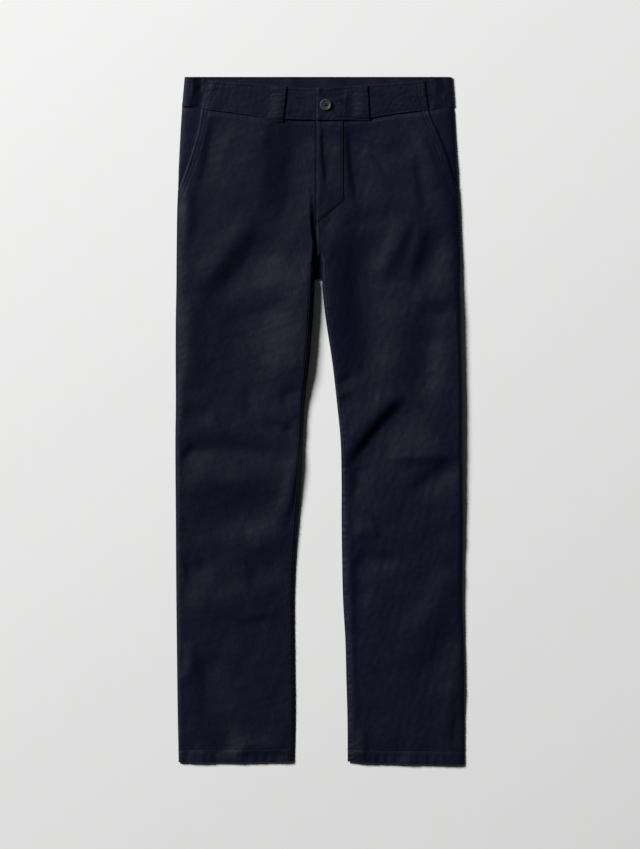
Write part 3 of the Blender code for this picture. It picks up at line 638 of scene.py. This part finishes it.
def make_facing(side):
    grid = []
    for place in steps_between(BAND_BACK_FOOT_Y + BAND_TUCK, POCKET_LOW_Y - 4, 3.0):
        edge = float(body_edge(side, place))
        slant = max(side * (edge - float(opening_x(side, place))), 0.0)
        distance = np.concatenate([np.linspace(0, 9, 12), np.linspace(9, slant + FACING_UNDERLAP, 24)[1:]])
        tuck = 0.8 * (1 - float(ease(slant / 1.5)))
        x = edge - side * (distance + tuck)
        y = yoke_line(x, place)
        drop = FACING_DROP * ease(distance / max(slant * 0.95, 2))
        z = leg_surface(side, x, y) - drop - press_at_band(x, y)
        grid.append(joined(x, y, np.maximum(z, LOWEST_FACE)))
    piece = shell(f"pocket_facing_{HAND[side]}", np.array(grid), CLOTH, twill)
    cloth_piece(piece, [f"pocket_facing_{HAND[side]}"])


for side in (-1, 1):
    make_facing(side)


# ------------------------------------------------------------
# The fronts: one piece of twill for each leg, from the waistband to the hem, its upper corner cut
# away on a slant for the pocket. The left one laps over the right down the fly, where its facing
# doubles it, and rows of stitching draw the cloth down into shallow grooves.
# ------------------------------------------------------------

FLY_X = -4.2                  # the seam down the middle of the front
FLY_LAP = 2.2                 # the left front's folded edge stands this far over the right one
FLY_UNDERLAP = 14.0           # the right front runs on this far under the left one
FLY_RISE = 1.9                # the doubled cloth stands this much higher, as far as here,
FLY_EDGE_X = 36.4
FLY_TURN_Y = 346.0            # and down to a line from here to the fly's foot
FLY_LOW_Y = 311.0
FLY_SINK = 1.2                # the right front lies this much lower under the fly
FLY_EDGE = (1.8, 1.3)         # width and depth over which each folded edge rolls down
POCKET_EDGE = (2.2, 0.6)
HEM_DEPTH = 19.0
HEM_RISE = 0.15
HEM_PUCKER = 0.5
HEM_GROOVE = 0.55
HEM_WAVE = 0.6                # depth of the broad waves that run up from the hem
INSEAM_PUCKER = 0.4
POCKET_ROWS = (6.2, 10.9)     # stitching along the pocket opening, this far inside its edge
INSEAM_ROWS = (3.4, 7.2)
ROW_GROOVE = 0.32
ROW_GROOVE_WIDTH = 1.3
ROW_REACH = 5.0               # a row of stitching draws the cloth down no further off than this
FRONT_ROW_STEP = 3.0

# The fly's two curved rows of stitching, and the one along its folded edge
FLY_ROWS = (
    ((34.9, 467), (34.9, 353), (33.4, 347), (29.4, 342), (14.0, 328), (-3.6, 312)),
    ((38.1, 467), (38.1, 352), (36.4, 345), (32.0, 339.5), (16.0, 325), (-2.6, 308)),
    ((-4.0, 467), (-4.0, 400), (-4.0, 313)),
)


def sewn_rows(side):
    """Plan of each row of stitching on a front."""
    rows = []
    for inset in POCKET_ROWS:
        y = steps_between(486, 318, 4.0)
        x = opening_x(side, y) - side * inset
        inside = np.abs(x) < np.abs(side_edge[side](y)) - 2.0
        rows.append(joined(x[inside], y[inside]))
    y = steps_between(244, -526, 8.0)
    rows += [joined(inner_edge[side](y) + side * inset, y) for inset in INSEAM_ROWS]
    return rows + (list(FLY_ROWS) if side > 0 else [])


def hem_row(side):
    x = side * steps_between(41, 221, 4.0)
    return joined(x, hem_line[side](x) + HEM_DEPTH)


def drawn_down(z, rows, x, y, depth, width):
    """A surface with a shallow groove along each row of stitching."""
    for row in rows:
        distance, _, _ = beside(row, x, y, ROW_REACH)
        z = z - depth * bell(distance, width) * (distance < ROW_REACH)
    return z


def hem_puckers(side, x):
    """Uneven puckers along a hem: short ones that come in groups, over longer ones."""
    short = 0.35 * np.sin(x * 0.74 + 2.4 * np.sin(x * 0.11)) * (0.35 + 0.65 * np.sin(x * 0.083 + side))
    return short + 0.5 * np.sin(x * 0.33 + 2.0 * np.sin(x * 0.07))


def front_height(side, x, y):
    """Upper face of a front, with its doubled cloth, hem and rows of stitching."""
    z = leg_surface(side, x, y)
    if side > 0:
        turn_line = mix(FLY_LOW_Y, FLY_TURN_Y, np.clip((x - FLY_X) / (FLY_EDGE_X - FLY_X), -1, 1.2))
        z = z + FLY_RISE * ease((FLY_EDGE_X - x) / 2.4 + 0.5) * ease((y - turn_line) / 3 + 0.5)
    else:
        wall = ease((x - crease["wall_x"](y)) / 4.0) * crease["share"](y)
        z = mix(z, crease["floor"](y) + 1.0 * ease((x + 5.5) / 3), wall)
        z = z - FLY_SINK * ease((x - FLY_X + 4) / 3) * ease((y - FLY_LOW_Y + 10) / 10)
    z = drawn_down(z, sewn_rows(side), x, y, ROW_GROOVE, ROW_GROOVE_WIDTH)
    to_inseam = np.abs(x - inner_edge[side](y))
    z = z + INSEAM_PUCKER * np.sin(y * 0.8 + 2.6 * np.sin(y * 0.13)) * bell(to_inseam - 4, 4) * (y < 200)
    hem = hem_line[side](x) + HEM_DEPTH
    z = z + HEM_RISE * ease((hem - y) / 3.0) + HEM_PUCKER * hem_puckers(side, x) * ease((hem - y) / 8.0)
    z = z + HEM_WAVE * np.sin(x * 0.095 + 0.75 + 0.5 * side) * ease((hem + 30 - y) / 30)
    z = z - HEM_GROOVE * bell(y - hem, 1.5) - 0.25 * bell(y - hem - 4.5, 1.2)
    return np.maximum(z - press_at_band(x, y), LOWEST_FACE)


def make_front(side):
    rows = np.concatenate([steps_between(BAND_BACK_FOOT_Y + BAND_TUCK, YOKE_LOW_Y, FRONT_ROW_STEP),
                           steps_between(YOKE_LOW_Y, HEM_ROWS_Y, FRONT_ROW_STEP)[1:],
                           steps_between(HEM_ROWS_Y, HEM_Y, 1.6)[1:]])
    xs, ys, edges = [], [], []
    for place in rows:
        inner = float(inner_edge[side](place))
        if side > 0 and place > FLY_LOW_Y:
            inner = FLY_X - FLY_LAP * float(ease((place - FLY_LOW_Y) / 6))
        if side < 0 and place > FLY_LOW_Y:
            inner = mix(inner, FLY_X + FLY_UNDERLAP, float(ease((place - FLY_LOW_Y) / 30)))
        outer = float(body_edge(side, place))
        if place > POCKET_LOW_Y:
            outer = side * min(side * outer, side * float(opening_x(side, place)))
        width = abs(outer - inner)
        step = np.concatenate([np.linspace(0, 12, 14), np.linspace(12, 46, 22)[1:],
                               np.linspace(46, width - 14, 64)[1:-1], width - np.linspace(14, 0, 15)])
        x = inner + side * step
        xs.append(x)
        ys.append(yoke_line(x, place) if place >= HEM_ROWS_Y else towards_hem(side, x, place))
        edges.append((inner, outer))
    x, y, edges = np.array(xs), np.array(ys), np.array(edges)
    z = front_height(side, x, y)
    at_fly = (rows > FLY_LOW_Y)[:, None] & (side > 0)
    z = z - rolled(np.abs(x - edges[:, :1]), *FLY_EDGE) * at_fly
    at_pocket = (rows > POCKET_LOW_Y)[:, None]
    z = z - rolled(np.abs(x - edges[:, 1:]), *POCKET_EDGE) * at_pocket
    piece = shell(f"front_{HAND[side]}", joined(x, y, z), CLOTH, twill)
    cloth_piece(piece, [f"front_panel_{HAND[side]}"])


for side in (-1, 1):
    make_front(side)


# ------------------------------------------------------------
# The waistband: folded twill with interlining, pressed flat. Its back lies under the body and
# turns up round both sides, and each half of its front ends in a lap over that at the pocket.
# ------------------------------------------------------------

BAND_WALL = 1.7
BAND_ROW_TOP = 6.0            # stitching below the top edge and above the foot
BAND_ROW_FOOT = 2.4
LAP_RISE = 2.5                # the left half stands this much higher over the right one
LAP_FREE_X = -5.6             # its free end
LAP_STEP_X = 14.0             # it comes down to the common level past here,
LAP_STEP_WIDTH = 42.0         # over this width
EXTENSION_X = 38.0            # the right half runs on under it to here,
EXTENSION_SINK = 2.0          # this much lower
# Width and depth over which the top, the foot, the pocket end and the lap's free end roll down
TOP_EDGE, FOOT_EDGE, POCKET_END, FREE_END = (3.2, 1.6), (1.8, 1.1), (2.0, 1.2), (1.8, 1.2)
END_FALL = {-1: (12, 1.5), 1: (5, 0.5)}      # and over which each half falls towards the pocket
LAP_ROW_GROOVE, LAP_ROW_WIDTH = 0.4, 1.4
BUTTON_X = 8.9
BUTTON_Y = 493.3
BACK_BAND_UNDER = 1.25
BACK_BAND_WALL = 1.6
# Where the back band comes over the side, dips, and goes under the lap, on each hand
BandTurn = namedtuple("BandTurn", "crest valley lap")
BACK_BAND_LEVELS = {-1: BandTurn(8.2, 4.8, 5.2), 1: BandTurn(4.5, 6.2, 6.4)}
BACK_BAND_TURN = 9.5
BACK_BAND_UNDERLAP = 12.0
BAND_RIPPLES = (Ripples(51, 12, 80, 30, 0.45), Ripples(61, 4, 11, 36, 0.18))
BACK_BAND_SHOWN_RIPPLES = Ripples(73, 8, 34, 20, 0.9)
BACK_BAND_HIDDEN_RIPPLES = Ripples(71, 25, 110, 16, 1.0)

# Rows of stitching across the ends of the front halves
LAP_ROWS = {
    -1: (((-160.8, 523), (-162.6, 516.5), (-168.4, 510.5), (-172.5, 505), (-175, 496), (-178, 487)),
         ((-156.6, 522), (-158.6, 515.5), (-164.2, 509), (-168.3, 503), (-170.8, 495), (-173.6, 486))),
    1: (((152.7, 527), (153.5, 509), (157.0, 498), (160.5, 486)),
        ((157.4, 528), (158.2, 509), (161.4, 498), (165.0, 487))),
}

# Soft folds of the left half round the button and over the end of the right half
LAP_FOLDS = (
    Fold(+1.2, 6, 4, -2, 524, -2, 516, -2, 508),
    Fold(-0.9, 20, 20, 26, 522, 30, 513, 34, 504),
    Fold(-0.8, 6, 10, 18, 484, 22, 490, 24, 497),
    Fold(+0.4, 2, 2, 42, 524, 40, 496, 38, 468),
    Fold(+0.8, 5, 4, -2, 480, -2, 474, -1, 468),
    Fold(-0.9, 1.3, 1.3, 14, 495.6, 24, 495.6, 34, 495.6),
)

back_band_edge = edges_of("waistband_back", 491, 536.5, 3)


def band_y(x, share):
    """Y at a share of the way up the waistband, as it curves along the front."""
    return mix(band_edges["foot"](x), band_edges["top"](x), share)


def band_height(side, x, y):
    """Upper face of a front half of the waistband."""
    to_top = band_edges["top"](x) - y
    to_foot = y - band_edges["foot"](x)
    to_end = side * (opening_x(side, y) - x)
    z = band_edges["level"](x)
    for kind in BAND_RIPPLES:
        z = z + ripples(x, y, kind, side)
    fall_width, fall = END_FALL[side]
    z = z - fall * (1 - ease(to_end / fall_width))
    z = drawn_down(z, LAP_ROWS[side], x, y, LAP_ROW_GROOVE, LAP_ROW_WIDTH)
    z = z - 0.4 * bell(to_top - BAND_ROW_TOP, 1.4) - 0.3 * bell(to_foot - BAND_ROW_FOOT, 1.2)
    if side > 0:
        z = z + LAP_RISE * (1 - ease((x - LAP_STEP_X) / LAP_STEP_WIDTH))
        for fold in LAP_FOLDS:
            z = z + fold_height(fold, x, y)
        z = z - rolled(x - LAP_FREE_X, *FREE_END)
    else:
        z = z - EXTENSION_SINK * ease((x - LAP_FREE_X - 4) / 6)
    return z - rolled(to_end, *POCKET_END) - rolled(to_top, *TOP_EDGE) - rolled(to_foot, *FOOT_EDGE)


def make_band_front(side):
    end = LAP_FREE_X if side > 0 else EXTENSION_X
    close = np.array([0, 0.5, 1.0, 1.7, 2.6, 4.0])
    depth = np.concatenate([close, np.linspace(5.0, 45.0, 30), 50.0 - close[::-1]]) / 50.0
    grid = []
    for share in 1 - depth:
        last = float(opening_x(side, mix(BAND_BACK_FOOT_Y, BAND_BACK_TOP_Y, share)))
        width = abs(last - end)
        step = np.concatenate([close[:-1], np.linspace(4.0, width - 4.0, 120), width - close[-2::-1]])
        x = end + side * step
        y = band_y(x, share)
        grid.append(joined(x, y, band_height(side, x, y)))
    name = f"waistband_front_{HAND[side]}"
    piece = shell(name, np.array(grid), BAND_WALL, twill_across)
    cloth_piece(piece, [name])


def make_band_back():
    grid = []
    for share in np.concatenate([[1.0, 0.985, 0.96], np.linspace(0.92, 0.08, 12), [0.04, 0.015, 0.0]]):
        level_y = mix(BAND_BACK_FOOT_Y, BAND_BACK_TOP_Y, share)
        halves = []
        for side in (-1, 1):
            edge = float(back_band_edge[side](level_y))
            to_lap = abs(edge - float(opening_x(side, level_y)))
            distance = np.linspace(to_lap + BACK_BAND_UNDERLAP, BACK_BAND_TURN, 26)
            turn = BACK_BAND_LEVELS[side]
            level = mix(turn.crest, turn.valley, ease((distance - 11) / 16))
            level = mix(level, turn.lap, ease((distance - to_lap + 3) / 5))
            flat_x = edge - side * distance
            flat_y = band_y(flat_x, share)
            shown = ease((to_lap - 3 - distance) / 6) * ease((distance - BACK_BAND_TURN) / 5)
            level = level + ripples(flat_x, flat_y, BACK_BAND_SHOWN_RIPPLES) * shown
            angle = np.radians(np.linspace(90, -90, 15))[1:]
            middle = (turn.crest + BACK_BAND_UNDER) / 2
            turn_x = edge - side * BACK_BAND_TURN * (1 - np.cos(angle))
            turn_y = mix(level_y, band_y(turn_x, share), angle / math.pi + 0.5)
            turn_z = middle + (turn.crest - BACK_BAND_UNDER) / 2 * np.sin(angle)
            halves.append(np.concatenate([joined(flat_x, flat_y, level), joined(turn_x, turn_y, turn_z)]))
        x = np.linspace(halves[0][-1, 0], halves[1][-1, 0], 82)[1:-1]
        lift = 0.8 * ease(ripples(x, level_y * 0.4, BACK_BAND_HIDDEN_RIPPLES) * 1.6)
        grid.append(np.concatenate([halves[0], joined(x, level_y, BACK_BAND_UNDER + lift), halves[1][::-1]]))
    piece = shell("waistband_back", np.array(grid), BACK_BAND_WALL, twill_across, faces_up=False)
    cloth_piece(piece, ["waistband_back"])


make_band_back()
for side in (-1, 1):
    make_band_front(side)


# ------------------------------------------------------------
# The belt loops: wide strips of doubled twill. Each is turned in at the waistband's top edge and
# sewn down there and below its foot, and stands off the band between. The three at the back lie
# pressed flat under it.
# ------------------------------------------------------------

LOOP_WIDTH = 26.0
LOOP_WALL = 1.2
LOOP_SLACK = 1.3              # how far a loop's middle stands off the band
LOOP_SLACK_SHARE = 0.15       # share of that slack at its edge on the wearer's right
LOOP_TURN = 9.0               # length of the turned-in end at the top
LOOP_TURN_RISE = 0.9
LOOP_RIPPLES = (Ripples(91, 9, 50, 20, 0.3), Ripples(93, 4, 9, 24, 0.2))

LoopPlace = namedtuple("LoopPlace", "name top_x foot_x foot_y")
FRONT_LOOPS = (
    LoopPlace("belt_loop_front_right", -64.5, -70.7, 466.0),
    LoopPlace("belt_loop_front_left", 61.5, 64.4, 468.2),
)
BACK_LOOPS = (
    ("belt_loop_back_right", -118.0),
    ("belt_loop_back_centre", SEAT_SEAM_X),
    ("belt_loop_back_left", 112.0),
)
LOOP_STEPS = np.array([0, 0.4, 0.9, 1.6, 2.6, 4.5, 7, 10, 13, 16, 19, 21.5, 23.4, 24.4, 25.1, 25.6, 26])


def make_front_loop(place):
    top_y = float(band_edges["top"](place.top_x)) - 1.2
    length = top_y - place.foot_y
    grid = []
    for from_top in np.concatenate([[0, 0.4, 1.0, 2.0], np.linspace(3, length - 3, 44),
                                    length - np.array([2.0, 1.0, 0.4, 0.0])]):
        share = 1 - from_top / length
        x = mix(place.foot_x, place.top_x, share) - LOOP_WIDTH / 2 + LOOP_STEPS
        y = np.full_like(x, place.foot_y + length * share)
        to_end = min(from_top, length - from_top)
        stand = LOOP_SLACK * ease(min(share / 0.22, (1 - share) / 0.28))
        stand = stand * mix(LOOP_SLACK_SHARE, 1.0, ease(LOOP_STEPS / 22))
        z = band_edges["level"](x) + 0.2 + LOOP_WALL + stand - 0.9 * (1 - ease((length - from_top) / 7))
        z = z + LOOP_TURN_RISE * ease((LOOP_TURN - from_top) / 1.2 + 0.5)
        z = z - 0.35 * bell(from_top - LOOP_TURN + 2.2, 1.0) - 0.3 * bell(length - from_top - 3.0, 1.0)
        for kind in LOOP_RIPPLES:
            z = z + ripples(x, y, kind)
        z = z - 1.1 * (1 - ease(LOOP_STEPS / 16)) - rolled(LOOP_WIDTH - LOOP_STEPS, 1.6, 0.7)
        grid.append(joined(x, y, z - rolled(to_end, 1.4, 0.8)))
    piece = shell(place.name, np.array(grid), LOOP_WALL, twill)
    cloth_piece(piece, [place.name])


def make_back_loop(name, centre):
    x = centre - LOOP_WIDTH / 2 + LOOP_STEPS
    z = rolled(np.minimum(LOOP_STEPS, LOOP_WIDTH - LOOP_STEPS), 1.6, 0.35) + 0.04
    grid = [joined(x, y, z) for y in np.linspace(BAND_BACK_TOP_Y - 0.5, BAND_BACK_FOOT_Y + 0.5, 16)]
    piece = shell(name, np.array(grid), 0.8, twill, faces_up=False)
    cloth_piece(piece, [name])


for place in FRONT_LOOPS:
    make_front_loop(place)
for name, centre in BACK_LOOPS:
    make_back_loop(name, centre)


# ------------------------------------------------------------
# Sewing: navy polyester thread, a shade lighter than the cloth, in rows of sunk stitches. One
# small tree of geometry nodes lays a stitch on every step of a line.
# ------------------------------------------------------------

THREAD_NAVY = "#1d2131"
STITCH_PITCH = 3.1
STITCH_LENGTH = 2.6
STITCH_RADIUS = 0.32
STITCH_LIFT = 0.12            # a stitch's middle lies this far above the cloth in its groove

thread, thread_shader = new_material("navy_polyester_sewing_thread", 0.6, 0.3)
thread_shader.inputs["Base Color"].default_value = linear(THREAD_NAVY)

# Inputs: the lines, how far apart the stitches are, and their length, radius and material
stitch_tree = bpy.data.node_groups.new("row_of_stitches", "GeometryNodeTree")
stitch_tree.interface.new_socket("Lines", in_out="INPUT", socket_type="NodeSocketGeometry")
for label in ("Pitch", "Length", "Radius"):
    stitch_tree.interface.new_socket(label, in_out="INPUT", socket_type="NodeSocketFloat")
stitch_tree.interface.new_socket("Material", in_out="INPUT", socket_type="NodeSocketMaterial")
stitch_tree.interface.new_socket("Stitches", in_out="OUTPUT", socket_type="NodeSocketGeometry")
given = node(stitch_tree, "NodeGroupInput")
curves = node(stitch_tree, "GeometryNodeMeshToCurve", [("Mesh", given.outputs["Lines"])])
places = node(stitch_tree, "GeometryNodeCurveToPoints",
              [("Curve", curves.outputs[0]), ("Length", given.outputs["Pitch"])], mode="LENGTH")
half = node(stitch_tree, "ShaderNodeMath", [(0, given.outputs["Length"])], operation="MULTIPLY", in_1=0.5)
scale = node(stitch_tree, "ShaderNodeCombineXYZ",
             [("X", given.outputs["Radius"]), ("Y", given.outputs["Radius"]), ("Z", half.outputs[0])])
bead = node(stitch_tree, "GeometryNodeMeshUVSphere", Segments=6, Rings=4, Radius=1.0)
laid = node(stitch_tree, "GeometryNodeInstanceOnPoints",
            [("Points", places.outputs["Points"]), ("Instance", bead.outputs["Mesh"]),
             ("Rotation", places.outputs["Rotation"]), ("Scale", scale.outputs[0])])
real = node(stitch_tree, "GeometryNodeRealizeInstances", [("Geometry", laid.outputs[0])])
dyed = node(stitch_tree, "GeometryNodeSetMaterial",
            [("Geometry", real.outputs[0]), ("Material", given.outputs["Material"])])
node(stitch_tree, "NodeGroupOutput", [("Stitches", dyed.outputs[0])])


def sew(name, lines, pitch=STITCH_PITCH, length=STITCH_LENGTH, radius=STITCH_RADIUS,
        material=thread):
    """A piece made of stitches along lines, each an array of (x, y, z) points."""
    points, edges = [], []
    for line in lines:
        start = len(points)
        points += (np.array(line) * MM).tolist()
        edges += [(start + step, start + step + 1) for step in range(len(line) - 1)]
    mesh = bpy.data.meshes.new(name + "_lines")
    mesh.from_pydata(points, edges, [])
    guide = add_object(name + "_lines", mesh)
    stitches = guide.modifiers.new("stitches", "NODES")
    stitches.node_group = stitch_tree
    values = {"Pitch": pitch * MM, "Length": length * MM, "Radius": radius * MM, "Material": material}
    for socket in stitch_tree.interface.items_tree:
        if socket.name in values:
            stitches[socket.identifier] = values[socket.name]
    made = bpy.data.meshes.new_from_object(guide.evaluated_get(bpy.context.evaluated_depsgraph_get()))
    bpy.data.objects.remove(guide)
    made.name = name
    made.shade_smooth()
    piece = add_object(name, made)
    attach(piece, "root")


def along(path, step=1.5):
    """Even steps along a plan path of straight runs."""
    path = np.array(path, float)
    run = np.concatenate([[0], np.cumsum(np.hypot(*np.diff(path, axis=0).T))])
    at = steps_between(0, run[-1], step)
    return np.interp(at, run, path[:, 0]), np.interp(at, run, path[:, 1])


def on_cloth(paths, height, side):
    """Plan paths laid on the surface that a height function gives for one hand."""
    laid_down = []
    for path in paths:
        x, y = along(path)
        laid_down.append(joined(x, y, height(side, x, y) + STITCH_LIFT))
    return laid_down


for side in (-1, 1):
    rows = sewn_rows(side)
    sew(f"stitches_pocket_{HAND[side]}", on_cloth(rows[:2], front_height, side))
    sew(f"stitches_inseam_{HAND[side]}", on_cloth(rows[2:4], front_height, side))
    sew(f"stitches_hem_{HAND[side]}", on_cloth([hem_row(side)], front_height, side))
    if side > 0:
        sew("stitches_fly", on_cloth(rows[4:], front_height, side))
    x = steps_between(LAP_FREE_X + 2 if side > 0 else LAP_FREE_X - 2, side * 160, 4.0)
    band_rows = [joined(x, band_edges["top"](x) - BAND_ROW_TOP),
                 joined(x, band_edges["foot"](x) + BAND_ROW_FOOT)]
    sew(f"stitches_waistband_{HAND[side]}", on_cloth([*band_rows, *LAP_ROWS[side]], band_height, side))

x = steps_between(-190, 184, 4.0)
sew("stitches_waistband_back",
    [joined(x, BAND_BACK_TOP_Y - BAND_ROW_TOP, BACK_BAND_UNDER + BACK_BAND_WALL + 0.1)])


# ------------------------------------------------------------
# The closed fly zip, hidden under the fronts: woven tape with moulded teeth down its middle.
# ------------------------------------------------------------

ZIP_X = 1.8
ZIP_TOP_Y = 466.0
ZIP_LOW_Y = 355.0
ZIP_WIDTH = 32.0
ZIP_TAPE = 0.6
ZIP_LEVEL = 4.4
TOOTH_PITCH = 1.3
TOOTH_WIDTH = 4.4
TAPE_NAVY = "#171a26"

tape, tape_shader = new_material("navy_woven_zip_tape", 0.8, 0.5)
tape_shader.inputs["Base Color"].default_value = linear(TAPE_NAVY)

tape_x = np.linspace(ZIP_X - ZIP_WIDTH / 2, ZIP_X + ZIP_WIDTH / 2, 25)
tape_grid = [joined(tape_x, y, ZIP_LEVEL + 0.5 * bell(tape_x - ZIP_X, 3.0))
             for y in np.linspace(ZIP_TOP_Y, ZIP_LOW_Y, 38)]
zip_tape = shell("zip_tape", np.array(tape_grid), ZIP_TAPE, tape)
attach(zip_tape, "root")
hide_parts("fly_zip")

teeth = [[(ZIP_X - TOOTH_WIDTH / 2, y, ZIP_LEVEL + 0.9), (ZIP_X + TOOTH_WIDTH / 2, y, ZIP_LEVEL + 0.9)]
         for y in np.arange(ZIP_LOW_Y + 4, ZIP_TOP_Y - 8, TOOTH_PITCH)]
sew("zip_teeth", teeth, pitch=TOOTH_WIDTH * 2, length=TOOTH_WIDTH, radius=0.5, material=tape)


# ------------------------------------------------------------
# The waist button: a moulded resin disc with a rounded rim, a sunk middle and four holes, sewn
# through with navy thread. It has come through the buttonhole, a slit whose edges are whipped.
# ------------------------------------------------------------

BUTTON_BASE = 13.0
BUTTON_HOLE_RADIUS = 1.35
BUTTON_HOLE_OUT = 2.1
BUTTON_SEGMENTS = 64
BUTTON_DARK, BUTTON_PALE = "#262c2b", "#353c3b"
BUTTONHOLE_X = (3.0, 32.0)
BUTTONHOLE_Y = 495.6

# Profile from the middle of the underside round to the middle of the face
Turning = namedtuple("Turning", "radius level")
BUTTON_PROFILE = (
    Turning(0.0, 0.0), Turning(6.5, 0.0), Turning(8.2, 0.4), Turning(8.8, 1.0), Turning(9.0, 1.6),
    Turning(8.8, 2.2), Turning(8.3, 2.65), Turning(7.6, 2.85), Turning(6.9, 2.75), Turning(6.3, 2.4),
    Turning(5.6, 1.95), Turning(4.8, 1.7), Turning(2.4, 1.6), Turning(0.0, 1.6),
)

resin, resin_shader = new_material("grey_green_moulded_resin", 0.5, 0.25)
on_button = node(resin.node_tree, "ShaderNodeTexCoord").outputs["Object"]
cloud = node(resin.node_tree, "ShaderNodeTexNoise", [("Vector", on_button)], Scale=260.0, Detail=2.0)
resin_colour = node(resin.node_tree, "ShaderNodeMix", [("Factor", cloud.outputs[0])], data_type="RGBA",
                    in_6=linear(BUTTON_DARK), in_7=linear(BUTTON_PALE))
resin.node_tree.links.new(resin_shader.inputs["Base Color"], resin_colour.outputs[2])

disc = bmesh.new()
rings = []
for turning in BUTTON_PROFILE:
    around = BUTTON_SEGMENTS if turning.radius > 0 else 1
    ring = []
    for step in range(around):
        angle = math.tau * step / BUTTON_SEGMENTS
        ring.append(disc.verts.new(((BUTTON_X + turning.radius * math.cos(angle)) * MM,
                                    (BUTTON_Y + turning.radius * math.sin(angle)) * MM,
                                    (BUTTON_BASE + turning.level) * MM)))
    rings.append(ring)
for low, high in zip(rings, rings[1:]):
    for step in range(BUTTON_SEGMENTS):
        corners = [low[step % len(low)], low[(step + 1) % len(low)],
                   high[(step + 1) % len(high)], high[step % len(high)]]
        disc.faces.new(list(dict.fromkeys(corners)))
bmesh.ops.recalc_face_normals(disc, faces=disc.faces[:])
disc_mesh = bpy.data.meshes.new("button")
disc.to_mesh(disc_mesh)
disc.free()
disc_mesh.materials.append(resin)
button = add_object("button", disc_mesh)

drills = bmesh.new()
hole_places = []
for index in range(4):
    angle = math.tau * (index + 0.5) / 4
    hole_x = BUTTON_X + BUTTON_HOLE_OUT * math.cos(angle)
    hole_y = BUTTON_Y + BUTTON_HOLE_OUT * math.sin(angle)
    hole_places.append((hole_x, hole_y))
    made = bmesh.ops.create_cone(drills, cap_ends=True, segments=20, depth=8 * MM,
                                 radius1=BUTTON_HOLE_RADIUS * MM, radius2=BUTTON_HOLE_RADIUS * MM)
    bmesh.ops.translate(drills, verts=made["verts"], vec=(hole_x * MM, hole_y * MM, BUTTON_BASE * MM))
drill_mesh = bpy.data.meshes.new("button_drills")
drills.to_mesh(drill_mesh)
drills.free()
drill = add_object("button_drills", drill_mesh)
cut = button.modifiers.new("holes", "BOOLEAN")
cut.operation = "DIFFERENCE"
cut.object = drill
holed = bpy.data.meshes.new_from_object(button.evaluated_get(bpy.context.evaluated_depsgraph_get()))
button.modifiers.clear()
button.data = holed
bpy.data.objects.remove(drill)
button.data.shade_smooth()
button.data.set_sharp_from_angle(angle=math.radians(40))
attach(button, "root")
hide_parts("waist_button")

thread_level = BUTTON_BASE + 1.9
cross = [[(*hole_places[first], thread_level), (*hole_places[second], thread_level)]
         for first, second in ((0, 2), (1, 3))]
cross += [[(*place, BUTTON_BASE - 2.2), (*place, thread_level)] for place in hole_places]
sew("button_thread", cross, pitch=20.0, length=5.2, radius=0.5)

whipping = []
for x in np.arange(*BUTTONHOLE_X, 0.85):
    for flank in (-0.75, 0.75):
        level = float(band_height(1, np.array(x), np.array(BUTTONHOLE_Y + flank * 2)))
        whipping.append([(x, BUTTONHOLE_Y + flank, level), (x, BUTTONHOLE_Y + flank * 2.6, level)])
sew("buttonhole_stitches", whipping, pitch=4.0, length=1.5, radius=0.28)


# ------------------------------------------------------------
# The surface that the trousers lie on, one big soft light from the upper left, and the camera
# straight above.
# ------------------------------------------------------------

VIEW_HEIGHT = 1324.4
CAMERA_PLACE = (-0.2, -5.1, 15000.0)
SENSOR_HEIGHT = 24.0
KEY_PLACE = (-7950.0, 5990.0, 6710.0)
KEY_AIM = (3000.0, 7000.0, 0.0)
KEY_SIZE = 4200.0
KEY_POWER = 2825.0
ROOM_STRENGTH = 0.032
FLOOR_HALF = 3000.0
FLOOR_LEVEL = -0.2            # a hair under the cloth, so that their faces don't coincide
PAPER_DARK, PAPER_PALE = "#e9e9e8", "#ebebeb"

world = bpy.data.worlds.new("studio")
world.use_nodes = True
world.node_tree.nodes["Background"].inputs["Color"].default_value = (1.0, 1.0, 1.0, 1.0)
world.node_tree.nodes["Background"].inputs["Strength"].default_value = ROOM_STRENGTH
bpy.context.scene.world = world
bpy.context.scene.view_settings.view_transform = "Standard"

paper, paper_shader = new_material("matt_pale_paper", 0.95, 0.0)
grain_noise = node(paper.node_tree, "ShaderNodeTexNoise", Scale=180.0, Detail=3.0)
paper_colour = node(paper.node_tree, "ShaderNodeMix", [("Factor", grain_noise.outputs[0])],
                    data_type="RGBA", in_6=linear(PAPER_DARK), in_7=linear(PAPER_PALE))
paper.node_tree.links.new(paper_shader.inputs["Base Color"], paper_colour.outputs[2])

floor_mesh = bpy.data.meshes.new("stage_floor")
corner = FLOOR_HALF * MM
corners = [(-corner, -corner, 0), (corner, -corner, 0), (corner, corner, 0), (-corner, corner, 0)]
floor_mesh.from_pydata(corners, [], [(0, 1, 2, 3)])
floor_mesh.materials.append(paper)
floor = add_object("stage_floor", floor_mesh)
floor.location.z = FLOOR_LEVEL * MM

light_data = bpy.data.lights.new("soft_key", "AREA")
light_data.shape = "DISK"
light_data.size = KEY_SIZE * MM
light_data.energy = KEY_POWER
key = add_object("soft_key", light_data)
key.location = Vector(KEY_PLACE) * MM
aim = Vector(KEY_AIM) * MM - key.location
key.rotation_euler = aim.to_track_quat("-Z", "Y").to_euler()

camera_data = bpy.data.cameras.new("overhead")
camera_data.sensor_fit = "VERTICAL"
camera_data.sensor_height = SENSOR_HEIGHT
camera_data.lens = SENSOR_HEIGHT * CAMERA_PLACE[2] / VIEW_HEIGHT
camera_data.clip_end = 50.0
camera = add_object("overhead", camera_data)
camera.location = Vector(CAMERA_PLACE) * MM
bpy.context.scene.camera = camera
